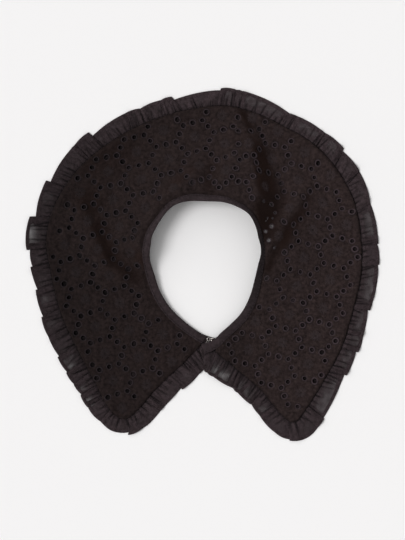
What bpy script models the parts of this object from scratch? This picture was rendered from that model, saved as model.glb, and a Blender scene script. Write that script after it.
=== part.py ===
"""Detachable lace collar: eyelet cotton leaf on a plain lining, with a pleated ruffle and a neck binding.

The collar lies flat and face up, closed round the neck opening. +Z is up, +Y runs to the back of
the neck and the front closure is at -Y. The origin is on the surface under the middle of the collar.
Every size and place below is in millimetres; a mesh is scaled to metres when it is made.
"""
from collections import namedtuple

import bmesh
import bpy
import numpy as np
from mathutils.geometry import delaunay_2d_cdt

METRE = 0.001
BOX_MIDDLE = (-0.45, 0.75, 0.0)

# Cloth thicknesses and clearances, measured straight up through the stack.
LINING_WALL = 1.3
LEAF_WALL = 1.3
STACK_GAP = 0.4
LINING_REACH = 7.5
LINING_PROBES = 8
LINING_FADE = 6.0
LINING_PITCH = 12.5
LINING_MARGIN = 7.0
RUFFLE_WALL = 1.0
PLEAT_GAP = 0.3
SEAM_GAP = 0.45
STACK_TOP = LINING_WALL + STACK_GAP + LEAF_WALL

# Cloth colours, as linear red, green and blue.
LEAF_COLOUR = (0.016, 0.013, 0.013)
LINING_COLOUR = (0.014, 0.012, 0.012)
RUFFLE_COLOUR = (0.038, 0.032, 0.037)
BINDING_COLOUR = (0.036, 0.030, 0.033)

# Neck binding: a folded bias strip that shuts the neck edge. Each corner of its section is a share
# of the width, from the neck edge, and a share of the height.
BINDING_TOP = 0.3
BINDING_STEP = 7.0
BINDING_SECTION = ((1.0, 0.0), (1.0, 1.0), (0.15, 1.0), (0.0, 0.75), (0.0, 0.25), (0.15, 0.0))

# How the cloth rises from the surface to the neck edge.
NECK_MIDDLE = (2.0, -4.0)
FLOOR_LINE = 0.85
CORNER_EASE = 4.0
RISE_POWER = 1.5
FOLD_NEAR_NECK = (-0.1, 0.2)
FOLD_NEAR_SEAM = (1.0, 0.65)

# The right front end lies over the left one at the closure.
LAP_LIFT = 5.2
LAP_CLEAR = 0.2
LAP_BINDING_START = 22.0
LAP_BINDING_FINISH = 12.0
LAP_REACH = 46.0
LAP_MIDDLE = (9.0, -84.0)
LAP_SIDE_X = 4.5

# Seam line between the leaf and the ruffle, from the left front end round the back to the right one.
# Columns: x, y.
SEAM = (
    (3.0, -77.0), (-6.0, -84.0), (-19.0, -97.0), (-48.0, -124.5), (-69.0, -148.0), (-76.0, -153.5),
    (-85.0, -152.0), (-92.0, -145.5), (-108.0, -117.0), (-126.0, -83.0), (-142.5, -46.0),
    (-152.0, -6.0), (-156.5, 26.0), (-154.5, 40.0), (-144.0, 68.0), (-123.0, 97.5), (-92.0, 123.5),
    (-53.0, 144.0), (-13.0, 155.7), (26.0, 159.0), (51.0, 152.4), (80.0, 139.0), (109.0, 122.0),
    (135.0, 94.0), (151.0, 63.0), (157.5, 30.0), (158.0, -8.0), (150.0, -44.0), (138.0, -83.0),
    (119.0, -118.0), (99.0, -149.0), (93.5, -156.0), (88.0, -157.0), (82.0, -152.5), (57.0, -124.0),
    (28.0, -99.5), (9.5, -83.5),
)
SEAM_START = 7.5
SEAM_FINISH = 1071.5
SEAM_STEP = 7.0
INNER_START = 1.0
INNER_FINISH = 12.5
INNER_POINTS = 60
INNER_CORNERS = 52
TIP_STEP = 2.5
TIPS = ((-82.0, -153.0), (90.0, -157.0))
TIP_REACH = 16.0

# Neck edge, in the same direction, and how the binding stands along it: its width seen from above
# and how far its inner edge rises above its outer one. Columns: x, y, width, rise.
NECK = (
    (3.0, -71.2, 8.0, 0.0), (-15.7, -58.8, 8.0, 0.6), (-34.2, -40.9, 8.0, 1.5),
    (-45.2, -21.6, 7.8, 2.0), (-50.7, -4.7, 7.4, 2.6), (-54.0, 15.0, 6.6, 3.6),
    (-51.0, 31.0, 6.2, 4.0), (-42.0, 45.0, 6.4, 3.6), (-30.0, 58.5, 7.2, 2.8),
    (-15.5, 65.0, 7.6, 2.4), (7.0, 65.6, 7.4, 2.6), (23.0, 64.0, 7.0, 3.2),
    (34.0, 59.5, 6.4, 4.2), (46.0, 51.0, 5.4, 5.0), (53.0, 38.0, 5.0, 5.4),
    (57.0, 22.0, 5.0, 5.2), (57.6, 12.0, 5.6, 4.6), (54.8, -0.2, 6.6, 3.4),
    (51.8, -13.4, 7.4, 2.4), (47.2, -30.4, 7.8, 1.8), (36.9, -49.8, 8.0, 1.2), (28.4, -58.6, 8.0, 0.8),
    (17.0, -69.0, 8.0, 0.4), (11.0, -75.8, 7.4, 0.0), (-3.0, -82.5, 7.0, 0.0),
)

# Height of the leaf's inner line above the surface, by direction from the neck middle in degrees.
# Columns: direction, height.
NECK_HEIGHTS = (
    (0.0, 19.0), (25.0, 26.0), (50.0, 26.0), (75.0, 23.0), (105.0, 20.0), (135.0, 20.5),
    (158.0, 18.5), (187.0, 3.5), (205.0, 1.5), (245.0, 0.8), (270.0, 0.6), (290.0, 3.0), (320.0, 10.0),
)

# Folds in the leaf: soft ridges, and one trough, from the neck end (x0, y0) to the outer end (x1, y1),
# with the half width of the slope on the left and on the right of the line.
Fold = namedtuple("Fold", "x0 y0 x1 y1 height left right")
FOLDS = tuple(Fold(*row) for row in (
    (53.0, 60.0, 43.0, 142.0, 9.0, 24.0, 9.0),
    (82.0, 64.0, 60.0, 130.0, -5.0, 9.0, 7.0),
    (58.0, 8.0, 111.0, 88.0, 6.5, 14.0, 7.5),
    (-96.0, 3.0, -129.0, 74.0, 4.5, 14.0, 7.5),
    (-97.0, 5.0, -69.0, -18.0, 2.5, 7.0, 10.0),
    (-22.0, 70.0, -1.0, 100.0, 3.0, 7.0, 6.0),
    (-38.0, 58.0, -14.0, 84.0, 2.5, 6.0, 6.0),
    (-58.0, 26.0, -84.0, 44.0, 2.5, 6.0, 6.0),
    (60.0, -6.0, 112.0, 6.0, 2.0, 12.0, 10.0),
))
FOLD_FADE_IN = (-0.25, 0.15)
FOLD_FADE_OUT = (1.1, 0.6)

# Eyelet honeycomb: six flowers round each flower, six corner and six edge eyelets round each.
FLOWER_STEP_ACROSS = 33.8
FLOWER_STEP_ALONG = 28.8
FLOWER_ANGLE = 65.5
EYELET_RADIUS = 2.25
EYELET_SIDES = 6
EYELET_CLEAR = 6.4
EDGE_CLEAR = 5.5
EDGE_PARTS = 6
HEART_CLEAR = 6.0
HEART_MARGIN = 7.0
EYELETS = (
    (1 / 3, 1 / 3), (2 / 3, -1 / 3), (1 / 3, -2 / 3), (-1 / 3, -1 / 3), (-2 / 3, 1 / 3), (-1 / 3, 2 / 3),
    (0.5, 0.0), (0.0, 0.5), (0.5, -0.5), (-0.5, 0.0), (0.0, -0.5), (-0.5, 0.5),
)
# The grain of the cloth turns round the neck: a row gives one flower's column and row number, its
# place, and how far its rows lean from straight front to back, in degrees.
# Columns: column, row, x, y, lean.
GRAIN = (
    (-1, 8, -56.0, -119.5, 17.0), (-2, 5, -117.0, -33.5, 19.0), (-1, 4, -93.0, -11.0, 20.0),
    (0, 6, -40.0, -68.5, 19.0), (-1, 2, -114.0, 43.5, 17.0), (0, 0, -94.0, 93.0, 9.0),
    (1, 1, -57.5, 57.0, 8.0), (2, -1, -34.0, 106.0, 10.0), (4, -2, 22.0, 119.0, 6.0),
    (6, -3, 74.0, 134.5, -14.0), (6, -2, 69.0, 106.0, -14.0), (8, -2, 119.5, 62.0, -17.0),
    (8, 0, 100.5, 7.5, -15.0), (9, 1, 120.0, -43.0, -15.0), (8, 3, 79.0, -77.0, -14.0),
    (9, 4, 98.0, -127.5, -14.0),
)
GRAIN_BLEND = 25.5
FLOWER_COLUMNS = (-5, 12)
FLOWER_ROWS = (-6, 11)
LEFT_FRONT_COLUMN = 2.0
RIGHT_FRONT_COLUMN = 5.9

# Pleats of the ruffle: where the fold meets the seam and the hem (millimetres along the seam), how
# deep it tucks under, and the hem's distance from the seam before and after it. A positive tuck has
# the stretch before the fold on top, a negative one the stretch after it.
Pleat = namedtuple("Pleat", "seam hem tuck before after")
PLEATS = tuple(Pleat(*row) for row in (
    (28.0, 27.0, 3.0, 19.2, 19.0), (52.0, 49.0, 4.5, 19.0, 17.0), (83.0, 82.0, 3.0, 18.2, 18.0),
    (109.0, 111.0, 3.5, 16.2, 13.6), (130.0, 128.5, 3.0, 14.6, 15.0), (145.0, 143.5, -3.5, 17.3, 17.8),
    (158.0, 156.5, 4.0, 18.7, 17.5), (173.0, 170.0, 4.0, 19.7, 19.3), (187.0, 183.5, 4.0, 20.8, 19.6),
    (204.0, 200.5, 4.0, 21.3, 19.6), (223.0, 222.0, 3.0, 20.8, 20.8), (243.0, 241.0, 4.5, 20.0, 18.2),
    (269.0, 266.5, 4.5, 18.6, 16.6), (291.0, 290.0, 4.0, 19.3, 17.2), (306.5, 306.0, -4.5, 16.8, 20.2),
    (337.0, 332.0, 5.0, 20.2, 13.9), (370.0, 366.0, 5.0, 19.3, 14.6), (408.0, 406.5, 3.5, 19.7, 19.7),
    (427.0, 423.0, 5.0, 20.6, 15.2), (460.0, 462.0, -3.5, 17.3, 17.3), (474.5, 476.0, -3.5, 15.2, 15.2),
    (494.5, 496.0, -3.5, 16.1, 15.8), (514.0, 506.5, 4.5, 16.4, 12.6), (548.0, 553.0, -4.5, 15.3, 17.2),
    (565.0, 564.5, 2.5, 17.2, 16.8), (572.5, 571.0, -2.5, 16.8, 17.5), (618.0, 619.5, -4.0, 14.2, 14.6),
    (657.0, 655.5, 4.0, 15.8, 16.1), (684.0, 677.0, 5.0, 18.3, 15.5), (707.0, 701.0, 4.5, 18.1, 17.8),
    (735.0, 731.0, 3.0, 15.2, 15.2), (769.0, 769.0, 4.5, 17.0, 15.8), (791.5, 788.0, 4.5, 17.4, 16.2),
    (833.0, 831.0, 5.0, 16.8, 14.3), (859.0, 858.5, 3.5, 16.8, 16.8), (875.5, 872.5, 4.5, 17.3, 15.0),
    (899.5, 896.0, 4.5, 17.2, 14.8), (942.0, 943.5, -4.0, 19.7, 20.8), (967.0, 966.0, 3.0, 18.6, 17.2),
    (990.5, 991.5, 3.5, 17.2, 17.0), (1010.5, 1007.5, -4.0, 16.4, 17.5), (1026.5, 1027.0, 3.0, 17.5, 17.5),
    (1040.0, 1034.5, 4.5, 16.6, 17.0), (1058.0, 1056.0, 2.5, 20.5, 20.5), (1069.0, 1063.0, 2.0, 21.5, 21.5),
))
RUFFLE_START = Pleat(9.5, 9.5, 0.0, 18.0, 18.0)
RUFFLE_END = Pleat(1077.0, 1067.5, 0.0, 21.5, 21.5)
END_TURN = 1072.7
END_TURN_RATE = 2.5
GATHER_PITCH = 8.5
GATHER_SEAM = 1.5
GATHER_HEM = 1.0
GATHER_CREST = 0.75
GATHER_SPREAD = 0.35
HEM_BULGE = 0.8
HEM_SLOPE = 0.3
PLEAT_CLEAR = 1.6
PLEAT_RETURN = 0.3
HIDDEN_FINISH = 29.0
END_LIFT = (1032.0, 1058.0)
END_LIFT_SEAM = 4.8
END_LIFT_HEM = 2.4

# Hook and eye of bent wire at the closure.
WIRE_RADIUS = 0.5
WIRE_COLOUR = (0.6, 0.6, 0.6)
# Columns: x, y, z.
HOOK_PATH = (
    (12.2, -73.7, 6.4), (11.0, -73.6, 6.1), (9.6, -74.8, 5.6), (8.3, -75.2, 5.2), (7.0, -74.6, 5.0),
    (5.8, -73.7, 4.9), (4.9, -73.1, 4.3), (4.8, -73.0, 3.2),
)
EYE_RING_CENTRE = (4.8, -73.0, 3.4)
EYE_RING_RADIUS = 1.6
EYE_RING_STEPS = 14


def smooth_step(x):
    """Ease from 0 to 1 as x runs from 0 to 1."""
    x = np.clip(x, 0.0, 1.0)
    return x * x * (3.0 - 2.0 * x)


def ramp(x, start, finish):
    """Ease from 0 at start to 1 at finish."""
    return smooth_step((x - start) / (finish - start))


def smooth_curve(points, fine=24):
    """Return a dense smooth curve through the points; any extra columns are carried along."""
    points = np.asarray(points, float)
    chord = np.linalg.norm(np.diff(points[:, :2], axis=0), axis=1)
    slope = np.diff(points, axis=0) / chord[:, None]
    tangent = np.empty_like(points)
    weight = (chord[:-1] / (chord[:-1] + chord[1:]))[:, None]
    tangent[1:-1] = slope[:-1] * (1.0 - weight) + slope[1:] * weight
    tangent[0] = 2.0 * slope[0] - tangent[1]
    tangent[-1] = 2.0 * slope[-1] - tangent[-2]
    t = np.linspace(0.0, 1.0, fine, endpoint=False)[None, :, None]
    h = chord[:, None, None]
    start, end = points[:-1, None], points[1:, None]
    curve = ((2 * t ** 3 - 3 * t ** 2 + 1) * start + (t ** 3 - 2 * t ** 2 + t) * h * tangent[:-1, None]
             + (3 * t ** 2 - 2 * t ** 3) * end + (t ** 3 - t ** 2) * h * tangent[1:, None])
    return np.vstack([curve.reshape(-1, points.shape[1]), points[-1:]])


class PlanCurve:
    """A curve seen from above, read by the length along it."""

    def __init__(self, points):
        self.points = smooth_curve(points)
        plan = self.points[:, :2]
        self.length = np.concatenate([[0.0], np.cumsum(np.linalg.norm(np.diff(plan, axis=0), axis=1))])
        along = np.gradient(plan, axis=0)
        along /= np.linalg.norm(along, axis=1)[:, None]
        self.side = np.stack([-along[:, 1], along[:, 0]], axis=1)
        self.along = along

    def read(self, table, u):
        """Interpolate a table of values at the lengths u, and run on straight past either end."""
        u = np.asarray(u, float)
        inside = np.clip(u, 0.0, self.length[-1])
        return np.stack([np.interp(inside, self.length, column) for column in table.T], axis=-1)

    def place(self, u, out=0.0):
        """Return the plan points at length u, moved outwards (left of the direction) by out."""
        u = np.asarray(u, float)
        beyond = u - np.clip(u, 0.0, self.length[-1])
        side = self.read(self.side, u)
        side /= np.linalg.norm(side, axis=-1, keepdims=True)
        plan = self.read(self.points[:, :2], u) + self.read(self.along, u) * beyond[..., None]
        return plan + side * np.asarray(out, float)[..., None]

    def distance(self, plan):
        """Return how far each plan point is from the curve."""
        difference = np.asarray(plan)[:, None, :] - self.points[None, :, :2]
        return np.sqrt((difference ** 2).sum(axis=2).min(axis=1))


seam = PlanCurve(SEAM)
neck = PlanCurve(NECK)
inner_line = PlanCurve(np.array([
    neck.place(u, neck.read(neck.points[:, 2:3], u)[..., 0] + STACK_GAP)
    for u in np.linspace(INNER_START, neck.length[-1] - INNER_FINISH, INNER_POINTS)
]))


def neck_height(plan):
    """Return the height of the inner line in the direction of each plan point."""
    offset = plan - np.array(NECK_MIDDLE)
    direction = np.degrees(np.arctan2(offset[:, 1], offset[:, 0])) % 360.0
    table = np.array(NECK_HEIGHTS)
    table = np.vstack([table[-1] - [360.0, 0.0], table, table[0] + [360.0, 0.0]])
    cell = np.searchsorted(table[:, 0], direction, side="right") - 1
    part = smooth_step((direction - table[cell, 0]) / (table[cell + 1, 0] - table[cell, 0]))
    return table[cell, 1] * (1.0 - part) + table[cell + 1, 1] * part


def fold_height(plan):
    """Return the sum of the folds: across, a bell with its own width on each side; along, faded ends."""
    total = np.zeros(len(plan))
    for fold in FOLDS:
        run = np.array([fold.x1 - fold.x0, fold.y1 - fold.y0])
        reach = np.hypot(*run)
        ahead = run / reach
        offset = plan - np.array([fold.x0, fold.y0])
        along = offset @ ahead / reach
        across = ahead[0] * offset[:, 1] - ahead[1] * offset[:, 0]
        width = np.where(across > 0.0, fold.left, fold.right)
        fade = ramp(along, *FOLD_FADE_IN) * ramp(along, *FOLD_FADE_OUT)
        total += fold.height * np.exp(-0.5 * (across / width) ** 2) * fade
    return total


def lap_lift(plan):
    """Return how far the right front end is lifted to lie over the left one."""
    away = np.hypot(plan[:, 0] - LAP_MIDDLE[0], plan[:, 1] - LAP_MIDDLE[1])
    return np.where(plan[:, 0] > LAP_SIDE_X, LAP_LIFT * (1.0 - smooth_step(away / LAP_REACH)), 0.0)


def cloth_rise(plan):
    """Return the height of the stack's underside without the lap: high at the neck, flat at the seam."""
    plan = np.asarray(plan, float)
    to_neck, to_seam = inner_line.distance(plan), seam.distance(plan)
    across = to_neck / (to_neck + to_seam + CORNER_EASE)
    rise = np.clip(1.0 - across / FLOOR_LINE, 0.0, 1.0) ** RISE_POWER
    fold = fold_height(plan) * ramp(across, *FOLD_NEAR_NECK) * ramp(across, *FOLD_NEAR_SEAM)
    return np.maximum(neck_height(plan) * rise + fold, 0.0)


def ground(plan):
    """Return the height of the underside of the cloth stack, with the right front end lapped over."""
    plan = np.asarray(plan, float)
    return cloth_rise(plan) + lap_lift(plan)


def to_frame(points):
    """Return points in millimetres as metres from the origin, under the middle of the collar's box."""
    return (np.asarray(points, float) - np.array(BOX_MIDDLE)) * METRE


def add_material(name, data, colour, roughness, metallic=0.0):
    """Give a mesh or a curve its own material."""
    material = bpy.data.materials.new(name)
    material.use_nodes = True
    shader = material.node_tree.nodes["Principled BSDF"]
    shader.inputs["Base Color"].default_value = (*colour, 1.0)
    shader.inputs["Roughness"].default_value = roughness
    shader.inputs["Metallic"].default_value = metallic
    data.materials.append(material)


def add_node(name, vertices, faces, colour, roughness):
    """Make one solid from points in millimetres, with its faces pointing out."""
    mesh = bpy.data.meshes.new(name)
    mesh.from_pydata(to_frame(vertices).tolist(), [], [tuple(face) for face in faces])
    mesh.update()
    shape = bmesh.new()
    shape.from_mesh(mesh)
    bmesh.ops.recalc_face_normals(shape, faces=shape.faces)
    shape.to_mesh(mesh)
    shape.free()
    add_material(name, mesh, colour, roughness)
    node = bpy.data.objects.new(name, mesh)
    bpy.context.scene.collection.objects.link(node)


def grain_place(flowers):
    """Return the plan points of honeycomb positions (column, row), blended from the grain table."""
    table = np.array(GRAIN, float)
    to_plan = np.array([[FLOWER_STEP_ACROSS * np.cos(np.radians(FLOWER_ANGLE)),
                         FLOWER_STEP_ACROSS * np.sin(np.radians(FLOWER_ANGLE))],
                        [FLOWER_STEP_ALONG, 0.0]])
    apart = ((flowers @ to_plan)[:, None] - (table[:, :2] @ to_plan)[None]) / GRAIN_BLEND
    weight = np.exp(-0.5 * (apart ** 2).sum(axis=2)) + 1e-12
    along = np.radians(table[:, 4])
    across = along + np.radians(FLOWER_ANGLE)
    step_along = FLOWER_STEP_ALONG * np.stack([np.sin(along), -np.cos(along)], axis=1)
    step_across = FLOWER_STEP_ACROSS * np.stack([np.sin(across), -np.cos(across)], axis=1)
    step = flowers[:, None, :] - table[None, :, :2]
    guess = table[None, :, 2:4] + step[..., :1] * step_across[None] + step[..., 1:] * step_along[None]
    return (guess * weight[..., None]).sum(axis=1) / weight.sum(axis=1)[:, None]


def on_cloth(flowers):
    """Tell which honeycomb positions lie on the cloth: it is cut open in front of the back rows."""
    column, row = flowers[:, 0], flowers[:, 1]
    return (row < 1.5) | (column < LEFT_FRONT_COLUMN) | (column > RIGHT_FRONT_COLUMN)


def inside(polygon, plan):
    """Tell which plan points lie inside a closed polygon, by counting the edges crossed."""
    x, y = plan[:, :1], plan[:, 1:]
    start, end = polygon, np.roll(polygon, -1, axis=0)
    spans = (start[:, 1] > y) != (end[:, 1] > y)
    rise = np.where(end[:, 1] == start[:, 1], 1.0, end[:, 1] - start[:, 1])
    crossing = start[:, 0] + (y - start[:, 1]) * (end[:, 0] - start[:, 0]) / rise
    return (spans & (x < crossing)).sum(axis=1) % 2 == 1


def seam_lengths():
    """Return the lengths along the seam where the outline has a corner, closer round the two tips."""
    lengths = [0.0]
    while lengths[-1] < seam.length[-1] - SEAM_STEP:
        here = seam.place(np.array(lengths[-1]))
        near_tip = min(np.hypot(here[0] - x, here[1] - y) for x, y in TIPS) < TIP_REACH
        lengths.append(lengths[-1] + (TIP_STEP if near_tip else SEAM_STEP))
    return np.array([u for u in lengths if SEAM_START + 2.0 < u < SEAM_FINISH - 2.0] + [SEAM_FINISH])


def collar_outline():
    """Return the closed outline of the leaf: along the seam, then back along the inner line."""
    outer = seam.place(np.concatenate([[SEAM_START], seam_lengths()]))
    inner = inner_line.place(np.linspace(inner_line.length[-1], 0.0, INNER_CORNERS))
    return np.vstack([outer, inner])


def all_flowers():
    """Return the column and row numbers of every flower that could lie on the cloth."""
    return np.array([(c, r) for c in np.arange(*FLOWER_COLUMNS) for r in np.arange(*FLOWER_ROWS)], float)


def circle(count):
    """Return unit steps to the corners of a regular polygon."""
    turn = np.arange(count) * 2.0 * np.pi / count
    return np.stack([np.cos(turn), np.sin(turn)], axis=1)


def nearest(plan, targets):
    """Return how far each plan point is from the closest of the targets."""
    return np.sqrt(((plan[:, None] - targets[None]) ** 2).sum(axis=2).min(axis=1))


def eyelet_centres(outline):
    """Return the middles of the eyelets that lie whole on the leaf, none closer than they are sewn."""
    sixths = np.round((all_flowers()[:, None] + np.array(EYELETS)[None]).reshape(-1, 2) * 6.0)
    spots = np.unique(sixths, axis=0) / 6.0
    centres = grain_place(spots[on_cloth(spots)])
    edge = np.vstack([outline, outline[:1]])
    edge_curve = np.vstack([np.linspace(a, b, EDGE_PARTS, endpoint=False)
                            for a, b in zip(edge[:-1], edge[1:])])
    keep = inside(outline, centres) & (nearest(centres, edge_curve) > EDGE_CLEAR)
    taken = np.empty((0, 2))
    for centre in centres[keep]:
        if len(taken) == 0 or np.hypot(*(taken - centre).T).min() >= EYELET_CLEAR:
            taken = np.vstack([taken, centre])
    return taken


def slab(name, outline, holes, extra, lower, upper, colour, roughness):
    """Make a sheet with holes from a plan triangulation, between two height functions."""
    rings = [outline] + holes
    plan = np.vstack(rings + [extra])
    owner = np.concatenate([np.full(len(points), k) for k, points in enumerate(rings + [extra])])
    owner[len(plan) - len(extra):] = -1
    edges = []
    start = 0
    for ring in rings:
        count = len(ring)
        edges += [(start + k, start + (k + 1) % count) for k in range(count)]
        start += count
    points, _, triangles, _, _, _ = delaunay_2d_cdt([tuple(p) for p in plan], edges, [], 0, 0.0001)
    if len(points) != len(plan):
        raise ValueError("the outline of " + name + " crosses itself")
    plan = np.array([tuple(p) for p in points])
    triangles = np.array(triangles)
    middle = plan[triangles].mean(axis=1)
    first = owner[triangles[:, 0]]
    same = (owner[triangles] == first[:, None]).all(axis=1)
    keep = inside(outline, middle) & ~(same & (first > 0))
    triangles = triangles[keep]
    a, b, c = plan[triangles[:, 0]], plan[triangles[:, 1]], plan[triangles[:, 2]]
    turn = (b[:, 0] - a[:, 0]) * (c[:, 1] - a[:, 1]) - (b[:, 1] - a[:, 1]) * (c[:, 0] - a[:, 0])
    triangles[turn < 0.0] = triangles[turn < 0.0][:, ::-1]
    count = len(plan)
    vertices = np.vstack([np.column_stack([plan, lower(plan)]), np.column_stack([plan, upper(plan)])])
    faces = [tuple(t) for t in triangles + count] + [tuple(t[::-1]) for t in triangles]
    used = {}
    for t in triangles:
        for p, q in ((t[0], t[1]), (t[1], t[2]), (t[2], t[0])):
            used[(p, q)] = True
    for p, q in used:
        if (q, p) not in used:
            faces.append((p, q, q + count, p + count))
    return add_node(name, vertices, faces, colour, roughness)


def spread_points(outline, pitch, clear):
    """Return a staggered grid of plan points inside the outline and clear of its edge."""
    low, high = outline.min(axis=0), outline.max(axis=0)
    rows = np.arange(low[1] + pitch / 2.0, high[1], pitch * np.sqrt(0.75))
    across = np.arange(low[0], high[0], pitch)
    grid = np.array([(x + (k % 2) * pitch / 2.0, y) for k, y in enumerate(rows) for x in across])
    return grid[inside(outline, grid) & (nearest(grid, outline) > clear)]


def leaf_lower(plan):
    """Return the height of the leaf's underside."""
    return ground(plan) + LINING_WALL + STACK_GAP


def leaf_upper(plan):
    """Return the height of the leaf's face."""
    return ground(plan) + STACK_TOP


def lining_lower(plan):
    """Return the height of the lining's underside: the lowest of the cloth's heights close by."""
    plan = np.asarray(plan, float)
    reach = smooth_step(inner_line.distance(plan) / LINING_FADE)[:, None] * LINING_REACH
    heights = [cloth_rise(plan)] + [cloth_rise(plan + step * reach) for step in circle(LINING_PROBES)]
    return np.min(heights, axis=0) + lap_lift(plan)


def lining_upper(plan):
    """Return the height of the lining's upper side."""
    return lining_lower(plan) + LINING_WALL


def build_leaf_and_lining():
    """Make the eyelet leaf and the plain lining under it."""
    outline = collar_outline()
    centres = eyelet_centres(outline)
    rings = [centre + EYELET_RADIUS * circle(EYELET_SIDES) for centre in centres]
    flowers = all_flowers()
    hearts = grain_place(flowers[on_cloth(flowers)])
    hearts = hearts[inside(outline, hearts)]
    clear = (nearest(hearts, centres) > HEART_CLEAR) & (nearest(hearts, outline) > HEART_MARGIN)
    slab("collar_leaf", outline, rings, hearts[clear], leaf_lower, leaf_upper, LEAF_COLOUR, 0.85)
    grid = spread_points(outline, LINING_PITCH, LINING_MARGIN)
    slab("collar_lining", outline, [], grid, lining_lower, lining_upper, LINING_COLOUR, 0.9)


def ruffle_stretch(before, pleat, number):
    """Return the gathers between two pleats as rows of seam length, hem length, height, crest, width.

    The stretch runs level on the surface, and meets a fold at the top level where it lies over it.
    """
    low, top = RUFFLE_WALL / 2.0, 2.5 * RUFFLE_WALL + 2.0 * PLEAT_GAP
    opens_high, closes_high = before.tuck < 0.0, pleat.tuck > 0.0
    begin = before.seam + PLEAT_CLEAR + abs(before.tuck) * opens_high
    finish = pleat.seam - (PLEAT_CLEAR + abs(pleat.tuck) * closes_high) * (pleat.tuck != 0.0)
    count = max(1, int(round((finish - begin) / GATHER_PITCH)))
    rows = []
    for k in range(2 * count + 1):
        at_seam = begin + (finish - begin) * k / (2.0 * count)
        part = (at_seam - before.seam) / (pleat.seam - before.seam)
        at_hem = before.hem + (pleat.hem - before.hem) * part
        width = before.after + (pleat.before - before.after) * part + HEM_BULGE * np.sin(np.pi * part)
        raised = (k == 0 and opens_high) or (k == 2 * count and closes_high)
        crest = 0.0
        if k % 2 == 1 and pleat.seam > HIDDEN_FINISH:
            crest = GATHER_CREST + GATHER_SPREAD * np.sin(2.4 * (number + 1) + 1.7 * k)
        rows.append((at_seam, at_hem, top if raised else low, crest, width))
    return rows


def ruffle_path():
    """Return the folded line of the ruffle as rows of seam length, hem length, height, crest, width.

    Each pleat is a Z: out to the fold on one level, back under it, and out again on another.
    """
    level = [RUFFLE_WALL / 2.0 + k * (RUFFLE_WALL + PLEAT_GAP) for k in range(3)]
    path = [(RUFFLE_START.seam, RUFFLE_START.hem, level[0], 0.0, RUFFLE_START.after)]
    last = RUFFLE_START
    for number, pleat in enumerate(PLEATS + (RUFFLE_END,)):
        path += ruffle_stretch(last, pleat, number)
        seam_end, hem_end, depth = pleat.seam, pleat.hem, abs(pleat.tuck)
        if pleat.tuck > 0.0:
            path += [(seam_end, hem_end, level[2], 0.0, pleat.before),
                     (seam_end, hem_end, level[1], 0.0, pleat.before),
                     (seam_end - depth, hem_end - depth, level[1], 0.0, pleat.before),
                     (seam_end - depth, hem_end - depth, level[0], 0.0, pleat.after),
                     (seam_end + PLEAT_RETURN, hem_end + PLEAT_RETURN, level[0], 0.0, pleat.after)]
        elif pleat.tuck < 0.0:
            path += [(seam_end, hem_end, level[0], 0.0, pleat.before),
                     (seam_end + depth, hem_end + depth, level[0], 0.0, pleat.before),
                     (seam_end + depth, hem_end + depth, level[1], 0.0, pleat.before),
                     (seam_end, hem_end, level[1], 0.0, pleat.after),
                     (seam_end, hem_end, level[2], 0.0, pleat.after)]
        last = pleat
    return np.array(path)


def offset_sides(u, out, height):
    """Return the two faces of a wall along a folded line: mitred, half a wall to each side."""
    plan = seam.place(u, out)
    centre = np.column_stack([plan, height])
    inward = np.column_stack([seam.place(u) - plan, np.zeros(len(u))])
    inward /= np.linalg.norm(inward, axis=1)[:, None]
    normal = np.cross(np.diff(centre, axis=0), inward[:-1] + inward[1:])
    normal /= np.linalg.norm(normal, axis=1)[:, None]
    before = np.vstack([normal[:1], normal])
    after = np.vstack([normal, normal[-1:]])
    mitre = (before + after) / (1.0 + (before * after).sum(axis=1))[:, None]
    return centre + mitre * RUFFLE_WALL / 2.0, centre - mitre * RUFFLE_WALL / 2.0


def build_ruffle():
    """Make the pleated ruffle: two folded lines, at the seam and at the hem, joined by straight walls."""
    at_seam, at_hem, height, crest, width = ruffle_path().T
    base = ground(seam.place(at_seam)) * (at_seam < END_LIFT[0])
    lift = ramp(at_seam, *END_LIFT)
    root = SEAM_GAP + END_TURN_RATE * np.maximum(at_seam - END_TURN, 0.0)
    root_height = height + crest * GATHER_SEAM + base + lift * END_LIFT_SEAM
    hem_height = height + crest * GATHER_HEM + base * HEM_SLOPE + lift * END_LIFT_HEM
    seam_top, seam_bottom = offset_sides(at_seam, root, root_height)
    hem_top, hem_bottom = offset_sides(at_hem, width, hem_height)
    count = len(at_seam)
    vertices = np.vstack([seam_top, hem_top, hem_bottom, seam_bottom])
    faces = []
    for k in range(count - 1):
        for side in range(4):
            a, b = side * count + k, ((side + 1) % 4) * count + k
            faces.append((a, b, b + 1, a + 1))
    faces.append((0, 3 * count, 2 * count, count))
    faces.append((count - 1, 2 * count - 1, 3 * count - 1, 4 * count - 1))
    add_node("ruffle", vertices, faces, RUFFLE_COLOUR, 0.75)


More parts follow.
